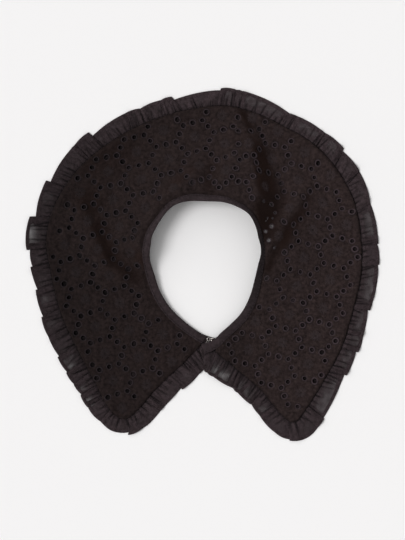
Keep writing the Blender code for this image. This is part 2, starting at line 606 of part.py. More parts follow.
def build_binding():
    """Make the neck binding: a rounded flat strip carried along the neck edge."""
    count = int(neck.length[-1] / BINDING_STEP)
    u = np.linspace(0.0, neck.length[-1], count + 1)
    width, rise = neck.read(neck.points[:, 2:4], u).T
    beside = neck.place(u, width)
    closest = np.argmin(((beside[:, None] - inner_line.points[None]) ** 2).sum(axis=2), axis=1)
    base = ground(inner_line.points[closest])
    end = ramp(u, neck.length[-1] - LAP_BINDING_START, neck.length[-1] - LAP_BINDING_FINISH)
    base = base * (1.0 - end) + (LAP_LIFT + LAP_CLEAR) * end
    top = STACK_TOP + BINDING_TOP
    vertices = np.vstack([
        np.column_stack([neck.place(u, width * share), base + rise * (1.0 - share) + top * height])
        for share, height in BINDING_SECTION
    ])
    sides, stations = len(BINDING_SECTION), count + 1
    faces = []
    for k in range(count):
        for side in range(sides):
            a, b = side * stations + k, ((side + 1) % sides) * stations + k
            faces.append((a, b, b + 1, a + 1))
    faces.append(tuple(side * stations for side in range(sides)))
    faces.append(tuple(side * stations + count for side in reversed(range(sides))))
    add_node("neck_binding", vertices, faces, BINDING_COLOUR, 0.8)


def build_wire(name, points, closed):
    """Make a bent wire as a bevelled curve."""
    curve = bpy.data.curves.new(name, "CURVE")
    curve.dimensions = "3D"
    curve.bevel_depth = WIRE_RADIUS * METRE
    curve.bevel_resolution = 1
    curve.use_fill_caps = not closed
    spline = curve.splines.new("POLY")
    spline.points.add(len(points) - 1)
    for point, place in zip(spline.points, to_frame(points)):
        point.co = (*place, 1.0)
    spline.use_cyclic_u = closed
    add_material(name, curve, WIRE_COLOUR, 0.3, 1.0)
    node = bpy.data.objects.new(name, curve)
    bpy.context.scene.collection.objects.link(node)


def build_hook_and_eye():
    """Make the wire hook on the right end and the wire eye on the left end."""
    build_wire("hook", HOOK_PATH, False)
    around = np.column_stack([circle(EYE_RING_STEPS), np.zeros(EYE_RING_STEPS)])
    build_wire("eye", np.array(EYE_RING_CENTRE) + EYE_RING_RADIUS * around, True)


def main():
    """Clear the scene and make each sub-part."""
    for old in list(bpy.data.objects):
        bpy.data.objects.remove(old, do_unlink=True)
    build_leaf_and_lining()
    build_ruffle()
    build_binding()
    build_hook_and_eye()


main()
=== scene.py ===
"""Dress the laid lace collar: eyelet cotton, sheer voile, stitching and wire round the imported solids.

Every length is in millimetres, and every height is measured up from the surface that the collar lies
on, until a mesh is made. A curve is read by the length along it, from the left front end round the
back of the neck to the right front end, with its outer side on the left.
"""
import logging
import math
from dataclasses import dataclass, field
from enum import Enum
from typing import Callable, NamedTuple

import bpy
import numpy as np
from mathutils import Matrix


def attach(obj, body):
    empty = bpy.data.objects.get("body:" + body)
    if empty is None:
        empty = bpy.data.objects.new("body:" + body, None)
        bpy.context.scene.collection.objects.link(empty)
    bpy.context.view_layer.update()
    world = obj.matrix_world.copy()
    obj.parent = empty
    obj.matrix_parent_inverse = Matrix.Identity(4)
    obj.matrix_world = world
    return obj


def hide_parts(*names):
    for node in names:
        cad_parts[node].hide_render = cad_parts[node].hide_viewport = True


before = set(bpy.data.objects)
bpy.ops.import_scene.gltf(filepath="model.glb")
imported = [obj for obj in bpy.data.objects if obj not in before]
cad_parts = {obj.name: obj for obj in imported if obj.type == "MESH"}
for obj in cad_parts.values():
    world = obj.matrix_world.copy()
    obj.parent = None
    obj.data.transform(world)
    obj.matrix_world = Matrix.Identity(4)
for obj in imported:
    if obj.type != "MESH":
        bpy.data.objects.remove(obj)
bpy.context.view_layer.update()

MM = 0.001
BOX_MIDDLE = (-0.45, 0.75, 0.0)
BODY = "root"
Array = np.ndarray
log = logging.getLogger("lace_collar")


# ---------------------------------------------------------------------------------------------
# Sizes of the cut and the lie of the cloth
# ---------------------------------------------------------------------------------------------

class NeckMark(NamedTuple):
    """A place on the neck edge, the binding's width seen from above, and how far its edge rises."""

    x: float
    y: float
    width: float
    rise: float


class Height(NamedTuple):
    """Height of the leaf's inner line in one direction from the middle of the neck, in degrees."""

    direction: float
    height: float


class Fold(NamedTuple):
    """A soft ridge or trough from one end to the other, with the half width of each of its slopes."""

    x0: float
    y0: float
    x1: float
    y1: float
    height: float
    left: float
    right: float


class GrainMark(NamedTuple):
    """One flower's column and row, its place, and how far its rows lean from straight, in degrees."""

    column: int
    row: int
    x: float
    y: float
    lean: float


class Pleat(NamedTuple):
    """A pleat: its place on seam and hem, its tuck, and the ruffle's width before and after it.

    A positive tuck has the stretch before the fold on top, a negative one the stretch after it.
    """

    seam: float
    hem: float
    tuck: float
    before: float
    after: float


class SmallEyelet(NamedTuple):
    """An eyelet near the neck where the lining is worn: its place and its size beside a whole one."""

    x: float
    y: float
    size: float


class BindingEdge(NamedTuple):
    """How far in the binding's two edges lie from its solid's, at a length along the neck."""

    u: float
    inner: float
    outer: float


class Panel(NamedTuple):
    """A stretch of the ruffle that lies as one open layer, and the share of light that it lets through.

    The light starts at the given share of the way from seam to hem.
    """

    start: float
    finish: float
    light: float
    inner: float = 0.15


SEAM = (
    (3.0, -77.0), (-6.0, -84.0), (-19.0, -97.0), (-48.0, -124.5), (-69.0, -148.0), (-76.0, -153.5),
    (-85.0, -152.0), (-92.0, -145.5), (-108.0, -117.0), (-126.0, -83.0), (-142.5, -46.0),
    (-152.0, -6.0), (-156.5, 26.0), (-154.5, 40.0), (-144.0, 68.0), (-123.0, 97.5), (-92.0, 123.5),
    (-53.0, 144.0), (-13.0, 155.7), (26.0, 159.0), (51.0, 152.4), (80.0, 139.0), (109.0, 122.0),
    (135.0, 94.0), (151.0, 63.0), (157.5, 30.0), (158.0, -8.0), (150.0, -44.0), (138.0, -83.0),
    (119.0, -118.0), (99.0, -149.0), (93.5, -156.0), (88.0, -157.0), (82.0, -152.5), (57.0, -124.0),
    (28.0, -99.5), (9.5, -83.5),
)
NECK = tuple(NeckMark(*row) for row in (
    (3.0, -71.2, 8.0, 0.0), (-15.7, -58.8, 8.0, 0.6), (-34.2, -40.9, 8.0, 1.5),
    (-45.2, -21.6, 7.8, 2.0), (-50.7, -4.7, 7.4, 2.6), (-54.0, 15.0, 6.6, 3.6),
    (-51.0, 31.0, 6.2, 4.0), (-42.0, 45.0, 6.4, 3.6), (-30.0, 58.5, 7.2, 2.8),
    (-15.5, 65.0, 7.6, 2.4), (7.0, 65.6, 7.4, 2.6), (23.0, 64.0, 7.0, 3.2),
    (34.0, 59.5, 6.4, 4.2), (46.0, 51.0, 5.4, 5.0), (53.0, 38.0, 5.0, 5.4),
    (57.0, 22.0, 5.0, 5.2), (57.6, 12.0, 5.6, 4.6), (54.8, -0.2, 6.6, 3.4),
    (51.8, -13.4, 7.4, 2.4), (47.2, -30.4, 7.8, 1.8), (36.9, -49.8, 8.0, 1.2), (28.4, -58.6, 8.0, 0.8),
    (17.0, -69.0, 8.0, 0.4), (11.0, -75.8, 7.4, 0.0), (-3.0, -82.5, 7.0, 0.0),
))
NECK_HEIGHTS = tuple(Height(*row) for row in (
    (0.0, 19.0), (25.0, 26.0), (50.0, 26.0), (75.0, 23.0), (105.0, 20.0), (135.0, 20.5),
    (158.0, 18.5), (187.0, 3.5), (205.0, 1.5), (245.0, 0.8), (270.0, 0.6), (290.0, 3.0), (320.0, 10.0),
))
FOLDS = tuple(Fold(*row) for row in (
    (53.0, 60.0, 43.0, 142.0, 9.0, 24.0, 9.0),
    (82.0, 64.0, 60.0, 130.0, -5.0, 9.0, 7.0),
    (58.0, 8.0, 111.0, 88.0, 6.5, 14.0, 7.5),
    (-96.0, 3.0, -129.0, 74.0, 4.5, 14.0, 7.5),
    (-97.0, 5.0, -69.0, -18.0, 2.5, 7.0, 10.0),
    (-22.0, 70.0, -1.0, 100.0, 3.0, 7.0, 6.0),
    (-38.0, 58.0, -14.0, 84.0, 2.5, 6.0, 6.0),
    (-58.0, 26.0, -84.0, 44.0, 2.5, 6.0, 6.0),
    (60.0, -6.0, 112.0, 6.0, 2.0, 12.0, 10.0),
))
CREASES = tuple(Fold(*row) for row in (
    (55.0, 58.0, 54.0, 106.0, 1.6, 7.0, 4.0),
    (54.0, 100.0, 40.0, 150.0, 1.6, 6.0, 3.0),
    (82.0, 70.0, 70.0, 110.0, -2.4, 5.0, 3.0),
    (70.0, 106.0, 50.0, 146.0, -2.0, 5.0, 3.0),
    (76.0, 50.0, 84.0, 74.0, -2.0, 5.0, 3.0),
    (59.0, 8.0, 112.0, 88.0, 1.4, 5.0, 2.6),
    (65.0, 4.0, 117.0, 82.0, -1.6, 3.0, 5.0),
    (-97.0, 6.0, -124.0, 72.0, 1.2, 5.0, 2.6),
    (-91.0, 8.0, -118.0, 72.0, -1.4, 3.0, 5.0),
    (-96.0, 6.0, -68.0, -17.0, 1.0, 2.6, 5.0),
    (-90.0, 8.0, -62.0, -13.0, -1.2, 5.0, 3.0),
    (-20.0, 72.0, 2.0, 100.0, 1.2, 3.0, 2.0),
    (6.0, 74.0, 11.0, 110.0, -2.2, 4.0, 5.0),
    (26.0, 74.0, 29.0, 100.0, 1.4, 4.0, 5.0),
    (-40.0, 64.0, -20.0, 82.0, 1.0, 2.6, 1.8),
    (-48.0, 52.0, -62.0, 66.0, 1.0, 2.6, 1.8),
    (-62.0, 24.0, -86.0, 38.0, 1.0, 2.6, 2.0),
    (-60.0, 10.0, -80.0, 14.0, -0.9, 2.4, 2.4),
    (66.0, 24.0, 98.0, 34.0, 0.8, 3.0, 2.2),
    (96.0, 22.0, 134.0, 24.0, -0.9, 2.0, 2.0),
    (62.0, -12.0, 96.0, -18.0, 0.8, 3.0, 2.2),
    (54.0, -34.0, 84.0, -52.0, 0.7, 3.4, 2.4),
    (-54.0, -24.0, -88.0, -40.0, 0.8, 3.2, 2.4),
    (-40.0, -46.0, -70.0, -72.0, 0.7, 3.0, 2.6),
    (-134.0, 16.0, -144.0, 48.0, 0.8, 4.0, 3.0),
    (-126.0, -30.0, -142.0, 2.0, -1.0, 4.4, 3.4),
    (-86.0, 92.0, -72.0, 118.0, -1.0, 4.0, 3.0),
    (-20.0, 128.0, 16.0, 138.0, -0.8, 4.0, 4.0),
    (84.0, 116.0, 112.0, 96.0, -0.7, 4.0, 5.0),
    (118.0, 40.0, 138.0, 8.0, 0.6, 4.0, 4.0),
    (108.0, -60.0, 124.0, -88.0, 0.6, 4.2, 3.4),
    (50.0, -62.0, 62.0, -92.0, -1.0, 3.8, 3.2),
    (52.0, -92.0, 82.0, -120.0, 0.5, 3.8, 3.2),
    (-58.0, -108.0, -84.0, -132.0, 0.5, 3.8, 3.2),
))
GRAIN = tuple(GrainMark(*row) for row in (
    (-1, 8, -56.0, -119.5, 17.0), (-2, 5, -117.0, -33.5, 19.0), (-1, 4, -93.0, -11.0, 20.0),
    (0, 6, -40.0, -68.5, 19.0), (-1, 2, -114.0, 43.5, 17.0), (0, 0, -94.0, 93.0, 9.0),
    (1, 1, -57.5, 57.0, 8.0), (2, -1, -34.0, 106.0, 10.0), (4, -2, 22.0, 119.0, 6.0),
    (6, -3, 74.0, 134.5, -14.0), (6, -2, 69.0, 106.0, -14.0), (8, -2, 119.5, 62.0, -17.0),
    (8, 0, 100.5, 7.5, -15.0), (9, 1, 120.0, -43.0, -15.0), (8, 3, 79.0, -77.0, -14.0),
    (9, 4, 98.0, -127.5, -14.0),
))
PLEATS = tuple(Pleat(*row) for row in (
    (28.0, 27.0, 3.0, 19.2, 19.0), (52.0, 49.0, 4.5, 19.0, 17.0), (83.0, 82.0, 3.0, 18.2, 18.0),
    (109.0, 111.0, 3.5, 16.2, 13.6), (130.0, 128.5, 3.0, 14.6, 15.0), (145.0, 143.5, -3.5, 17.3, 17.8),
    (158.0, 156.5, 4.0, 18.7, 17.5), (173.0, 170.0, 4.0, 19.7, 19.3), (187.0, 183.5, 4.0, 20.8, 19.6),
    (204.0, 200.5, 4.0, 21.3, 19.6), (223.0, 222.0, 3.0, 20.8, 20.8), (243.0, 241.0, 4.5, 20.0, 18.2),
    (269.0, 266.5, 4.5, 18.6, 16.6), (291.0, 290.0, 4.0, 19.3, 17.2), (306.5, 306.0, -4.5, 16.8, 20.2),
    (337.0, 332.0, 5.0, 20.2, 13.9), (370.0, 366.0, 5.0, 19.3, 14.6), (408.0, 406.5, 3.5, 19.7, 19.7),
    (427.0, 423.0, 5.0, 20.6, 15.2), (460.0, 462.0, -3.5, 17.3, 17.3), (474.5, 476.0, -3.5, 15.2, 15.2),
    (494.5, 496.0, -3.5, 16.1, 15.8), (514.0, 506.5, 4.5, 16.4, 12.6), (548.0, 553.0, -4.5, 15.3, 17.2),
    (565.0, 564.5, 2.5, 17.2, 16.8), (572.5, 571.0, -2.5, 16.8, 17.5), (618.0, 619.5, -4.0, 14.2, 14.6),
    (657.0, 655.5, 4.0, 15.8, 16.1), (684.0, 677.0, 5.0, 18.3, 15.5), (707.0, 701.0, 4.5, 18.1, 17.8),
    (735.0, 731.0, 3.0, 15.2, 15.2), (769.0, 769.0, 4.5, 17.0, 15.8), (791.5, 788.0, 4.5, 17.4, 16.2),
    (833.0, 831.0, 5.0, 16.8, 14.3), (859.0, 858.5, 3.5, 16.8, 16.8), (875.5, 872.5, 4.5, 17.3, 15.0),
    (899.5, 896.0, 4.5, 17.2, 14.8), (942.0, 943.5, -4.0, 19.7, 20.8), (967.0, 966.0, 3.0, 18.6, 17.2),
    (990.5, 991.5, 3.5, 17.2, 17.0), (1010.5, 1007.5, -4.0, 16.4, 17.5), (1026.5, 1027.0, 3.0, 17.5, 17.5),
    (1040.0, 1034.5, 4.5, 16.6, 17.0), (1058.0, 1056.0, 2.5, 20.5, 20.5), (1069.0, 1063.0, 2.0, 21.5, 21.5),
))
RUFFLE_START = Pleat(3.0, 9.5, 0.0, 18.0, 18.0)
RUFFLE_END = Pleat(1077.0, 1067.5, 0.0, 21.5, 21.5)
PANELS = tuple(Panel(*row) for row in (
    (143, 153, 0.32, 0.5), (160, 167, 0.26, 0.5), (187, 200, 0.18), (187, 193, 0.32, 0.5),
    (231, 238, 0.14), (253, 262, 0.16),
    (309, 330, 0.41, 0.55), (350, 362, 0.14), (552, 565, 0.18), (573, 612, 0.18), (630, 655, 0.17),
    (665, 680, 0.17), (740, 762, 0.23), (793, 825, 0.22), (835, 895, 0.18), (905, 940, 0.22),
    (990, 1000, 0.20), (1010, 1035, 0.20), (1046, 1067, 0.38, 0.4),
))
# Folds along which a brown shade is painted and the cloth darkened.
PAINTED_SHADE_FOLDS = tuple(Fold(*row) for row in (
    (56.0, 62.0, 63.0, 20.0, 1.0, 9.0, 4.0), (70.0, 72.0, 67.0, 42.0, 0.8, 7.0, 6.0),
    (47.0, 136.0, 35.0, 160.0, 0.9, 2.4, 3.0), (64.0, -6.0, 74.0, 24.0, 0.7, 3.0, 3.0),
    (-112.0, 52.0, -122.0, 78.0, 0.6, 7.0, 11.0), (-94.0, 8.0, -112.0, 52.0, 0.8, 5.0, 7.0),
    (-93.0, 8.0, -58.0, -20.0, 0.6, 6.0, 7.0), (3.0, 76.0, 14.0, 108.0, 0.5, 4.0, 5.0),
    (-120.0, 96.0, -60.0, 126.0, 0.3, 10.0, 14.0),
))
BINDING_EDGES = tuple(BindingEdge(*row) for row in (
    (-8.5, 2.6, 0.0), (-3.0, 1.2, 0.0), (4.0, 0.0, 0.0), (20.0, 0.0, 0.0), (66.0, 0.2, 0.0), (74.0, 0.6, 0.1),
    (82.0, 0.9, 0.2), (98.0, 0.2, 0.3), (106.0, 1.0, 0.4), (114.0, 1.9, 0.6), (122.0, 1.3, 0.8),
    (130.0, 1.4, 1.0), (138.0, 0.5, 1.2), (146.0, 0.0, 1.6), (162.0, 0.4, 2.2), (170.0, 1.1, 2.6),
    (178.0, 2.2, 3.0), (186.0, 2.7, 3.3), (200.0, 2.5, 3.8), (218.0, 2.3, 3.6), (234.0, 1.5, 2.9),
    (242.0, 1.1, 2.5), (254.0, 0.9, 1.8), (260.0, 1.2, 1.8), (267.0, 1.6, 1.7), (275.0, 0.5, 1.6),
    (284.0, 0.3, 1.5), (312.0, 0.3, 0.8), (342.0, 0.3, 0.0), (367.0, 0.3, 0.0), (379.0, 0.5, 0.0),
    (387.0, 1.8, 0.0), (393.0, 2.6, 0.0), (401.0, 4.0, 0.0),
))
SMALL_EYELETS = tuple(SmallEyelet(*row) for row in (
    (60.1, 63.2, 0.62), (67.9, 60.2, 0.9), (71.5, 51.9, 0.6), (63.9, 46.8, 0.32), (68.9, 46.4, 0.33),
    (62.4, 43.6, 0.28), (68.0, 38.3, 0.75), (62.0, 33.2, 0.75), (65.1, 24.4, 0.85), (70.7, 17.1, 0.55),
))


# ---------------------------------------------------------------------------------------------
# Curves and noise
# ---------------------------------------------------------------------------------------------

def ease(x: Array) -> Array:
    """Return 3x² - 2x³, which runs smoothly from 0 to 1 as x does."""
    x = np.clip(x, 0.0, 1.0)
    return x * x * (3.0 - 2.0 * x)


def ramp(x: Array, start: float, finish: float) -> Array:
    """Return a smooth step from 0 at start to 1 at finish."""
    return ease((np.asarray(x, float) - start) / (finish - start))


def unevenness(places: Array, length: float, seed: int, waves: int = 7) -> Array:
    """Work out soft unevenness: a mean of sine waves in many directions, scaled to about -1 to 1.

    Args:
        places: points as rows of one or two coordinates.
        length: the usual length of a wave.
        seed: picks the directions, lengths and starts of the waves, and is another one at each use.
        waves: how many are added.

    Returns:
        One value for each point.
    """
    draw = np.random.default_rng(seed)
    steps = draw.normal(size=(places.shape[-1], waves))
    steps *= 2.0 * np.pi / length * draw.uniform(0.7, 1.4, waves) / np.linalg.norm(steps, axis=0)
    return np.sin(places @ steps + draw.uniform(0.0, 2.0 * np.pi, waves)).sum(axis=-1) / math.sqrt(waves)


def smooth_curve(points: Array, fine: int = 24, span: int = 2) -> Array:
    """Return a dense curve through the points: cubic pieces with matched slopes at each point.

    Args:
        points: one row a point; columns past the first span ones are carried along.
        fine: how many points each piece gets.
        span: how many of the columns are coordinates.

    Returns:
        The curve's points, with as many columns as the given ones.
    """
    points = np.asarray(points, float)
    chord = np.linalg.norm(np.diff(points[:, :span], axis=0), axis=1)
    slope = np.diff(points, axis=0) / chord[:, None]
    tangent = np.empty_like(points)
    weight = (chord[:-1] / (chord[:-1] + chord[1:]))[:, None]
    tangent[1:-1] = slope[:-1] * (1.0 - weight) + slope[1:] * weight
    tangent[0] = 2.0 * slope[0] - tangent[1]
    tangent[-1] = 2.0 * slope[-1] - tangent[-2]
    t = np.linspace(0.0, 1.0, fine, endpoint=False)[None, :, None]
    h = chord[:, None, None]
    curve = ((2 * t ** 3 - 3 * t ** 2 + 1) * points[:-1, None] + (3 * t ** 2 - 2 * t ** 3) * points[1:, None]
             + (t ** 3 - 2 * t ** 2 + t) * h * tangent[:-1, None] + (t ** 3 - t ** 2) * h * tangent[1:, None])
    return np.vstack([curve.reshape(-1, points.shape[1]), points[-1:]])


def in_blocks(rows: Array, block: int = 4096) -> list[Array]:
    """Cut an array into blocks of rows, so that a table of distances stays small."""
    return np.array_split(rows, max(1, len(rows) // block))


def nearest(plan: Array, targets: Array) -> tuple[Array, Array]:
    """Find the closest target of each plan point.

    Args:
        plan: the plan points.
        targets: the points that they are measured to.

    Returns:
        How far the closest target is from each point, and which one it is.
    """
    distance, index = [], []
    for block in in_blocks(plan):
        apart = ((block[:, None] - targets[None]) ** 2).sum(axis=2)
        index.append(apart.argmin(axis=1))
        distance.append(np.sqrt(apart.min(axis=1)))
    return np.concatenate(distance), np.concatenate(index)


@dataclass
class PlanCurve:
    """A smooth curve seen from above, read by the length along it."""

    marks: Array
    points: Array = field(init=False)
    length: Array = field(init=False)
    along: Array = field(init=False)
    side: Array = field(init=False)

    def __post_init__(self) -> None:
        """Fill in the dense points and their lengths, directions and outer sides."""
        self.points = smooth_curve(self.marks)
        plan = self.points[:, :2]
        self.length = np.concatenate([[0.0], np.cumsum(np.linalg.norm(np.diff(plan, axis=0), axis=1))])
        along = np.gradient(plan, axis=0)
        self.along = along / np.linalg.norm(along, axis=1)[:, None]
        self.side = np.stack([-self.along[:, 1], self.along[:, 0]], axis=1)

    @property
    def total(self) -> float:
        """Return the whole length."""
        return float(self.length[-1])

    def read(self, table: Array, u: Array) -> Array:
        """Interpolate the columns of a table at the lengths u."""
        u = np.clip(u, 0.0, self.length[-1])
        return np.stack([np.interp(u, self.length, column) for column in table.T], axis=-1)

    def place(self, u: Array, out: Array | float = 0.0) -> Array:
        """Find plan points beside the curve; past an end they go straight on.

        Args:
            u: lengths along the curve.
            out: how far each point is moved outwards.

        Returns:
            The plan points.
        """
        u = np.asarray(u, float)
        side = self.read(self.side, u)
        side /= np.linalg.norm(side, axis=-1, keepdims=True)
        beyond = (u - np.clip(u, 0.0, self.length[-1]))[..., None]
        plan = self.read(self.points[:, :2], u) + self.read(self.along, u) * beyond
        return plan + side * np.asarray(out, float)[..., None]

    def distance(self, plan: Array) -> Array:
        """Return how far each plan point is from the curve."""
        return nearest(plan, self.points[:, :2])[0]


@dataclass
class LaidCloth:
    """How the collar lies: flat at the seam, a low cone up to the neck, folds, and the lapped end.

    The height is the neck height in a point's direction times (1 - across / floor_line) ** power,
    where across runs from 0 at the leaf's inner line to 1 at the seam, plus a bell for each fold.
    """

    stack_gap: float = 0.4
    stack_top: float = 3.0
    neck_middle: tuple[float, float] = (2.0, -4.0)
    floor_line: float = 0.85
    corner_ease: float = 4.0
    power: float = 1.5
    lap_lift: float = 5.2
    lap_clear: float = 0.2
    lap_reach: float = 46.0
    lap_middle: tuple[float, float] = (9.0, -84.0)
    lap_side: float = 4.5
    lap_binding: tuple[float, float] = (22.0, 12.0)
    seam: PlanCurve = field(init=False)
    neck: PlanCurve = field(init=False)
    inner: PlanCurve = field(init=False)

    def __post_init__(self) -> None:
        """Work out the seam, the neck edge and the leaf's inner line."""
        self.seam = PlanCurve(np.array(SEAM))
        self.neck = PlanCurve(np.array(NECK))
        u = np.linspace(1.0, self.neck.total - 12.5, 60)
        width = self.neck.read(self.neck.points[:, 2:3], u)[:, 0]
        self.inner = PlanCurve(self.neck.place(u, width + self.stack_gap))

    def neck_height(self, plan: Array) -> Array:
        """Read the height of the leaf's inner line, eased between the marks of its table.

        Args:
            plan: the plan points.

        Returns:
            The inner line's height in the direction of each point from the middle of the neck.
        """
        offset = plan - np.array(self.neck_middle)
        direction = np.degrees(np.arctan2(offset[:, 1], offset[:, 0])) % 360.0
        table = np.array(NECK_HEIGHTS)
        table = np.vstack([table[-1] - [360.0, 0.0], table, table[0] + [360.0, 0.0]])
        cell = np.searchsorted(table[:, 0], direction, side="right") - 1
        part = ease((direction - table[cell, 0]) / (table[cell + 1, 0] - table[cell, 0]))
        return table[cell, 1] * (1.0 - part) + table[cell + 1, 1] * part

    def past_binding(self, plan: Array) -> tuple[Array, Array]:
        """Measure from the binding's outer edge.

        Args:
            plan: the plan points.

        Returns:
            How far each point is outside that edge, and how far in the edge itself is drawn there.
        """
        away, closest = nearest(plan, self.neck.points[:, :2])
        table = np.array(BINDING_EDGES)
        drawn = np.interp(self.neck.length[closest], table[:, 0], table[:, 2])
        return away - self.neck.points[closest, 2] + drawn, drawn

    @staticmethod
    def folds(plan: Array, table: tuple[Fold, ...]) -> Array:
        """Add up the folds: each is a bell across, with a width for each side, and eased at its ends.

        Args:
            plan: the plan points.
            table: the folds.

        Returns:
            The height that they add at each point.
        """
        total = np.zeros(len(plan))
        for fold in table:
            run = np.array([fold.x1 - fold.x0, fold.y1 - fold.y0])
            reach = np.hypot(*run)
            ahead = run / reach
            offset = plan - np.array([fold.x0, fold.y0])
            along = offset @ ahead / reach
            across = ahead[0] * offset[:, 1] - ahead[1] * offset[:, 0]
            width = np.where(across > 0.0, fold.left, fold.right)
            fade = ramp(along, -0.25, 0.15) * ramp(along, 1.1, 0.6)
            total += fold.height * np.exp(-0.5 * (across / width) ** 2) * fade
        return total

    def across(self, plan: Array) -> tuple[Array, Array]:
        """Return each point's share of the way from inner line to seam, and its distance to the seam."""
        to_neck, to_seam = self.inner.distance(plan), self.seam.distance(plan)
        return to_neck / (to_neck + to_seam + self.corner_ease), to_seam

    def lap(self, plan: Array) -> Array:
        """Return how far the right front end is lifted to lie over the left one."""
        away = np.hypot(plan[:, 0] - self.lap_middle[0], plan[:, 1] - self.lap_middle[1])
        return np.where(plan[:, 0] > self.lap_side, self.lap_lift * (1.0 - ease(away / self.lap_reach)), 0.0)

    def creases(self, plan: Array) -> Array:
        """Return the height of the sharper creases, which end short of the seam."""
        return self.folds(plan, CREASES) * ramp(self.seam.distance(plan), 1.0, 9.0)

    def ground(self, plan: Array) -> Array:
        """Work out the height of the underside of the lining and leaf together.

        Args:
            plan: the plan points.

        Returns:
            The height at each point: cone, folds and lap, never below the surface under them.
        """
        across, _ = self.across(plan)
        rise = np.clip(1.0 - across / self.floor_line, 0.0, 1.0) ** self.power
        fold = self.folds(plan, FOLDS) * ramp(across, -0.1, 0.2) * ramp(across, 1.0, 0.65)
        return np.maximum(self.neck_height(plan) * rise + fold, 0.0) + self.lap(plan)


# ---------------------------------------------------------------------------------------------
# Meshes
# ---------------------------------------------------------------------------------------------

@dataclass
class Surface:
    """Points, faces, pattern coordinates and named values of one mesh, in millimetres."""

    points: Array
    faces: list[list[int]]
    pattern: Array | None = None
    values: dict[str, Array] = field(default_factory=dict)

    def piece(self, name: str, material: bpy.types.Material, smooth: bool = True) -> bpy.types.Object:
        """Make the object: its place is in its mesh, and its object sits at the origin.

        Args:
            name: the piece's name.
            material: its only material.
            smooth: whether its faces are shaded smooth.

        Returns:
            The new object, riding on the collar's one body.
        """
        mesh = bpy.data.meshes.new(name)
        place = (np.asarray(self.points, float) - np.array(BOX_MIDDLE)) * MM
        mesh.from_pydata(place.tolist(), [], self.faces)
        mesh.update()
        corner = np.empty(len(mesh.loops), dtype=np.int32)
        mesh.loops.foreach_get("vertex_index", corner)
        if self.pattern is not None:
            layer = mesh.uv_layers.new(name="UVMap")
            layer.data.foreach_set("uv", (self.pattern[corner] * MM).astype(np.float32).ravel())
        for value_name, values in self.values.items():
            attribute = mesh.attributes.new(value_name, "FLOAT", "POINT")
            attribute.data.foreach_set("value", values.astype(np.float32))
        if smooth:
            mesh.shade_smooth()
        mesh.materials.append(material)
        made = bpy.data.objects.new(name, mesh)
        bpy.context.scene.collection.objects.link(made)
        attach(made, BODY)
        return made


def grid_faces(rows: int, columns: int, closed: bool = False) -> Array:
    """Return the quads of a grid of points that is stored row by row.

    Args:
        rows: how many rows there are.
        columns: how many points a row has.
        closed: whether the last point of a row joins the first.

    Returns:
        The four corners of each quad, as point numbers.
    """
    row = np.arange(rows - 1)[:, None] * columns
    column = np.arange(columns if closed else columns - 1)[None]
    after = (column + 1) % columns
    quads = np.stack([row + column, row + columns + column, row + columns + after, row + after], axis=-1)
    return quads.reshape(-1, 4)


def repeated(faces: Array, copies: int, points: int) -> Array:
    """Return the faces of many copies of one small mesh that has the given number of points."""
    return (faces[None] + (np.arange(copies) * points)[:, None, None]).reshape(-1, faces.shape[1])


def thicken(made: bpy.types.Object, thickness: float, offset: float = -1.0) -> None:
    """Give a sheet its thickness.

    Args:
        made: the sheet's object.
        thickness: the thickness in millimetres.
        offset: -1 puts it all below the face, 0 half on each side.
    """
    wall = made.modifiers.new("thickness", "SOLIDIFY")
    wall.thickness = thickness * MM
    wall.offset = offset
    wall.use_rim = True


def tube(path: Array, radius: float, sides: int = 8) -> Surface:
    """Carry a circle along a path, turned as little as possible from one station to the next.

    The point at station s and angle a is path(s) + radius (cos a · n(s) + sin a · b(s)), where n and b
    are square to the path. The ends are closed with a face.

    Args:
        path: the points of its middle line.
        radius: the circle's radius.
        sides: how many points the circle has.

    Returns:
        The closed tube.
    """
    tangent = np.gradient(path, axis=0)
    tangent /= np.linalg.norm(tangent, axis=1)[:, None]
    normal = np.empty_like(path)
    first = np.array([0.0, 0.0, 1.0]) if abs(tangent[0, 2]) < 0.9 else np.array([1.0, 0.0, 0.0])
    for station, ahead in enumerate(tangent):
        first = first - ahead * (first @ ahead)
        first = first / np.linalg.norm(first)
        normal[station] = first
    other = np.cross(tangent, normal)
    turn = np.arange(sides) * 2.0 * np.pi / sides
    ring = np.cos(turn)[None, :, None] * normal[:, None] + np.sin(turn)[None, :, None] * other[:, None]
    points = (path[:, None] + radius * ring).reshape(-1, 3)
    faces = grid_faces(len(path), sides, closed=True)[:, ::-1].tolist()
    faces.append(list(range(sides))[::-1])
    faces.append([len(path) * sides - sides + k for k in range(sides)])
    return Surface(points, faces)


def joined(parts: list[Surface]) -> Surface:
    """Put several surfaces into one mesh.

    Args:
        parts: surfaces without pattern coordinates or values.

    Returns:
        One surface with all their points and faces.
    """
    faces, shift = [], 0
    for part in parts:
        faces += [[corner + shift for corner in face] for face in part.faces]
        shift += len(part.points)
    return Surface(np.vstack([part.points for part in parts]), faces)


def frames_on(height: Callable[[Array], Array], plan: Array, step: float = 1.0) -> tuple[Array, Array]:
    """Return where plan points lie on a height field, and the axes of the surface there.

    Args:
        height: a function from plan points to heights.
        plan: the plan points.
        step: how far apart the slope is measured.

    Returns:
        The points, and for each its two tangents and its normal.
    """
    x_step, y_step = np.array([step, 0.0]), np.array([0.0, step])
    slope_x = (height(plan + x_step) - height(plan - x_step)) / (2.0 * step)
    slope_y = (height(plan + y_step) - height(plan - y_step)) / (2.0 * step)
    normal = np.stack([-slope_x, -slope_y, np.ones(len(plan))], axis=1)
    normal /= np.linalg.norm(normal, axis=1)[:, None]
    tangent = np.stack([np.ones(len(plan)), np.zeros(len(plan)), slope_x], axis=1)
    tangent /= np.linalg.norm(tangent, axis=1)[:, None]
    axes = np.stack([tangent, np.cross(normal, tangent), normal], axis=1)
    return np.column_stack([plan, height(plan)]), axes


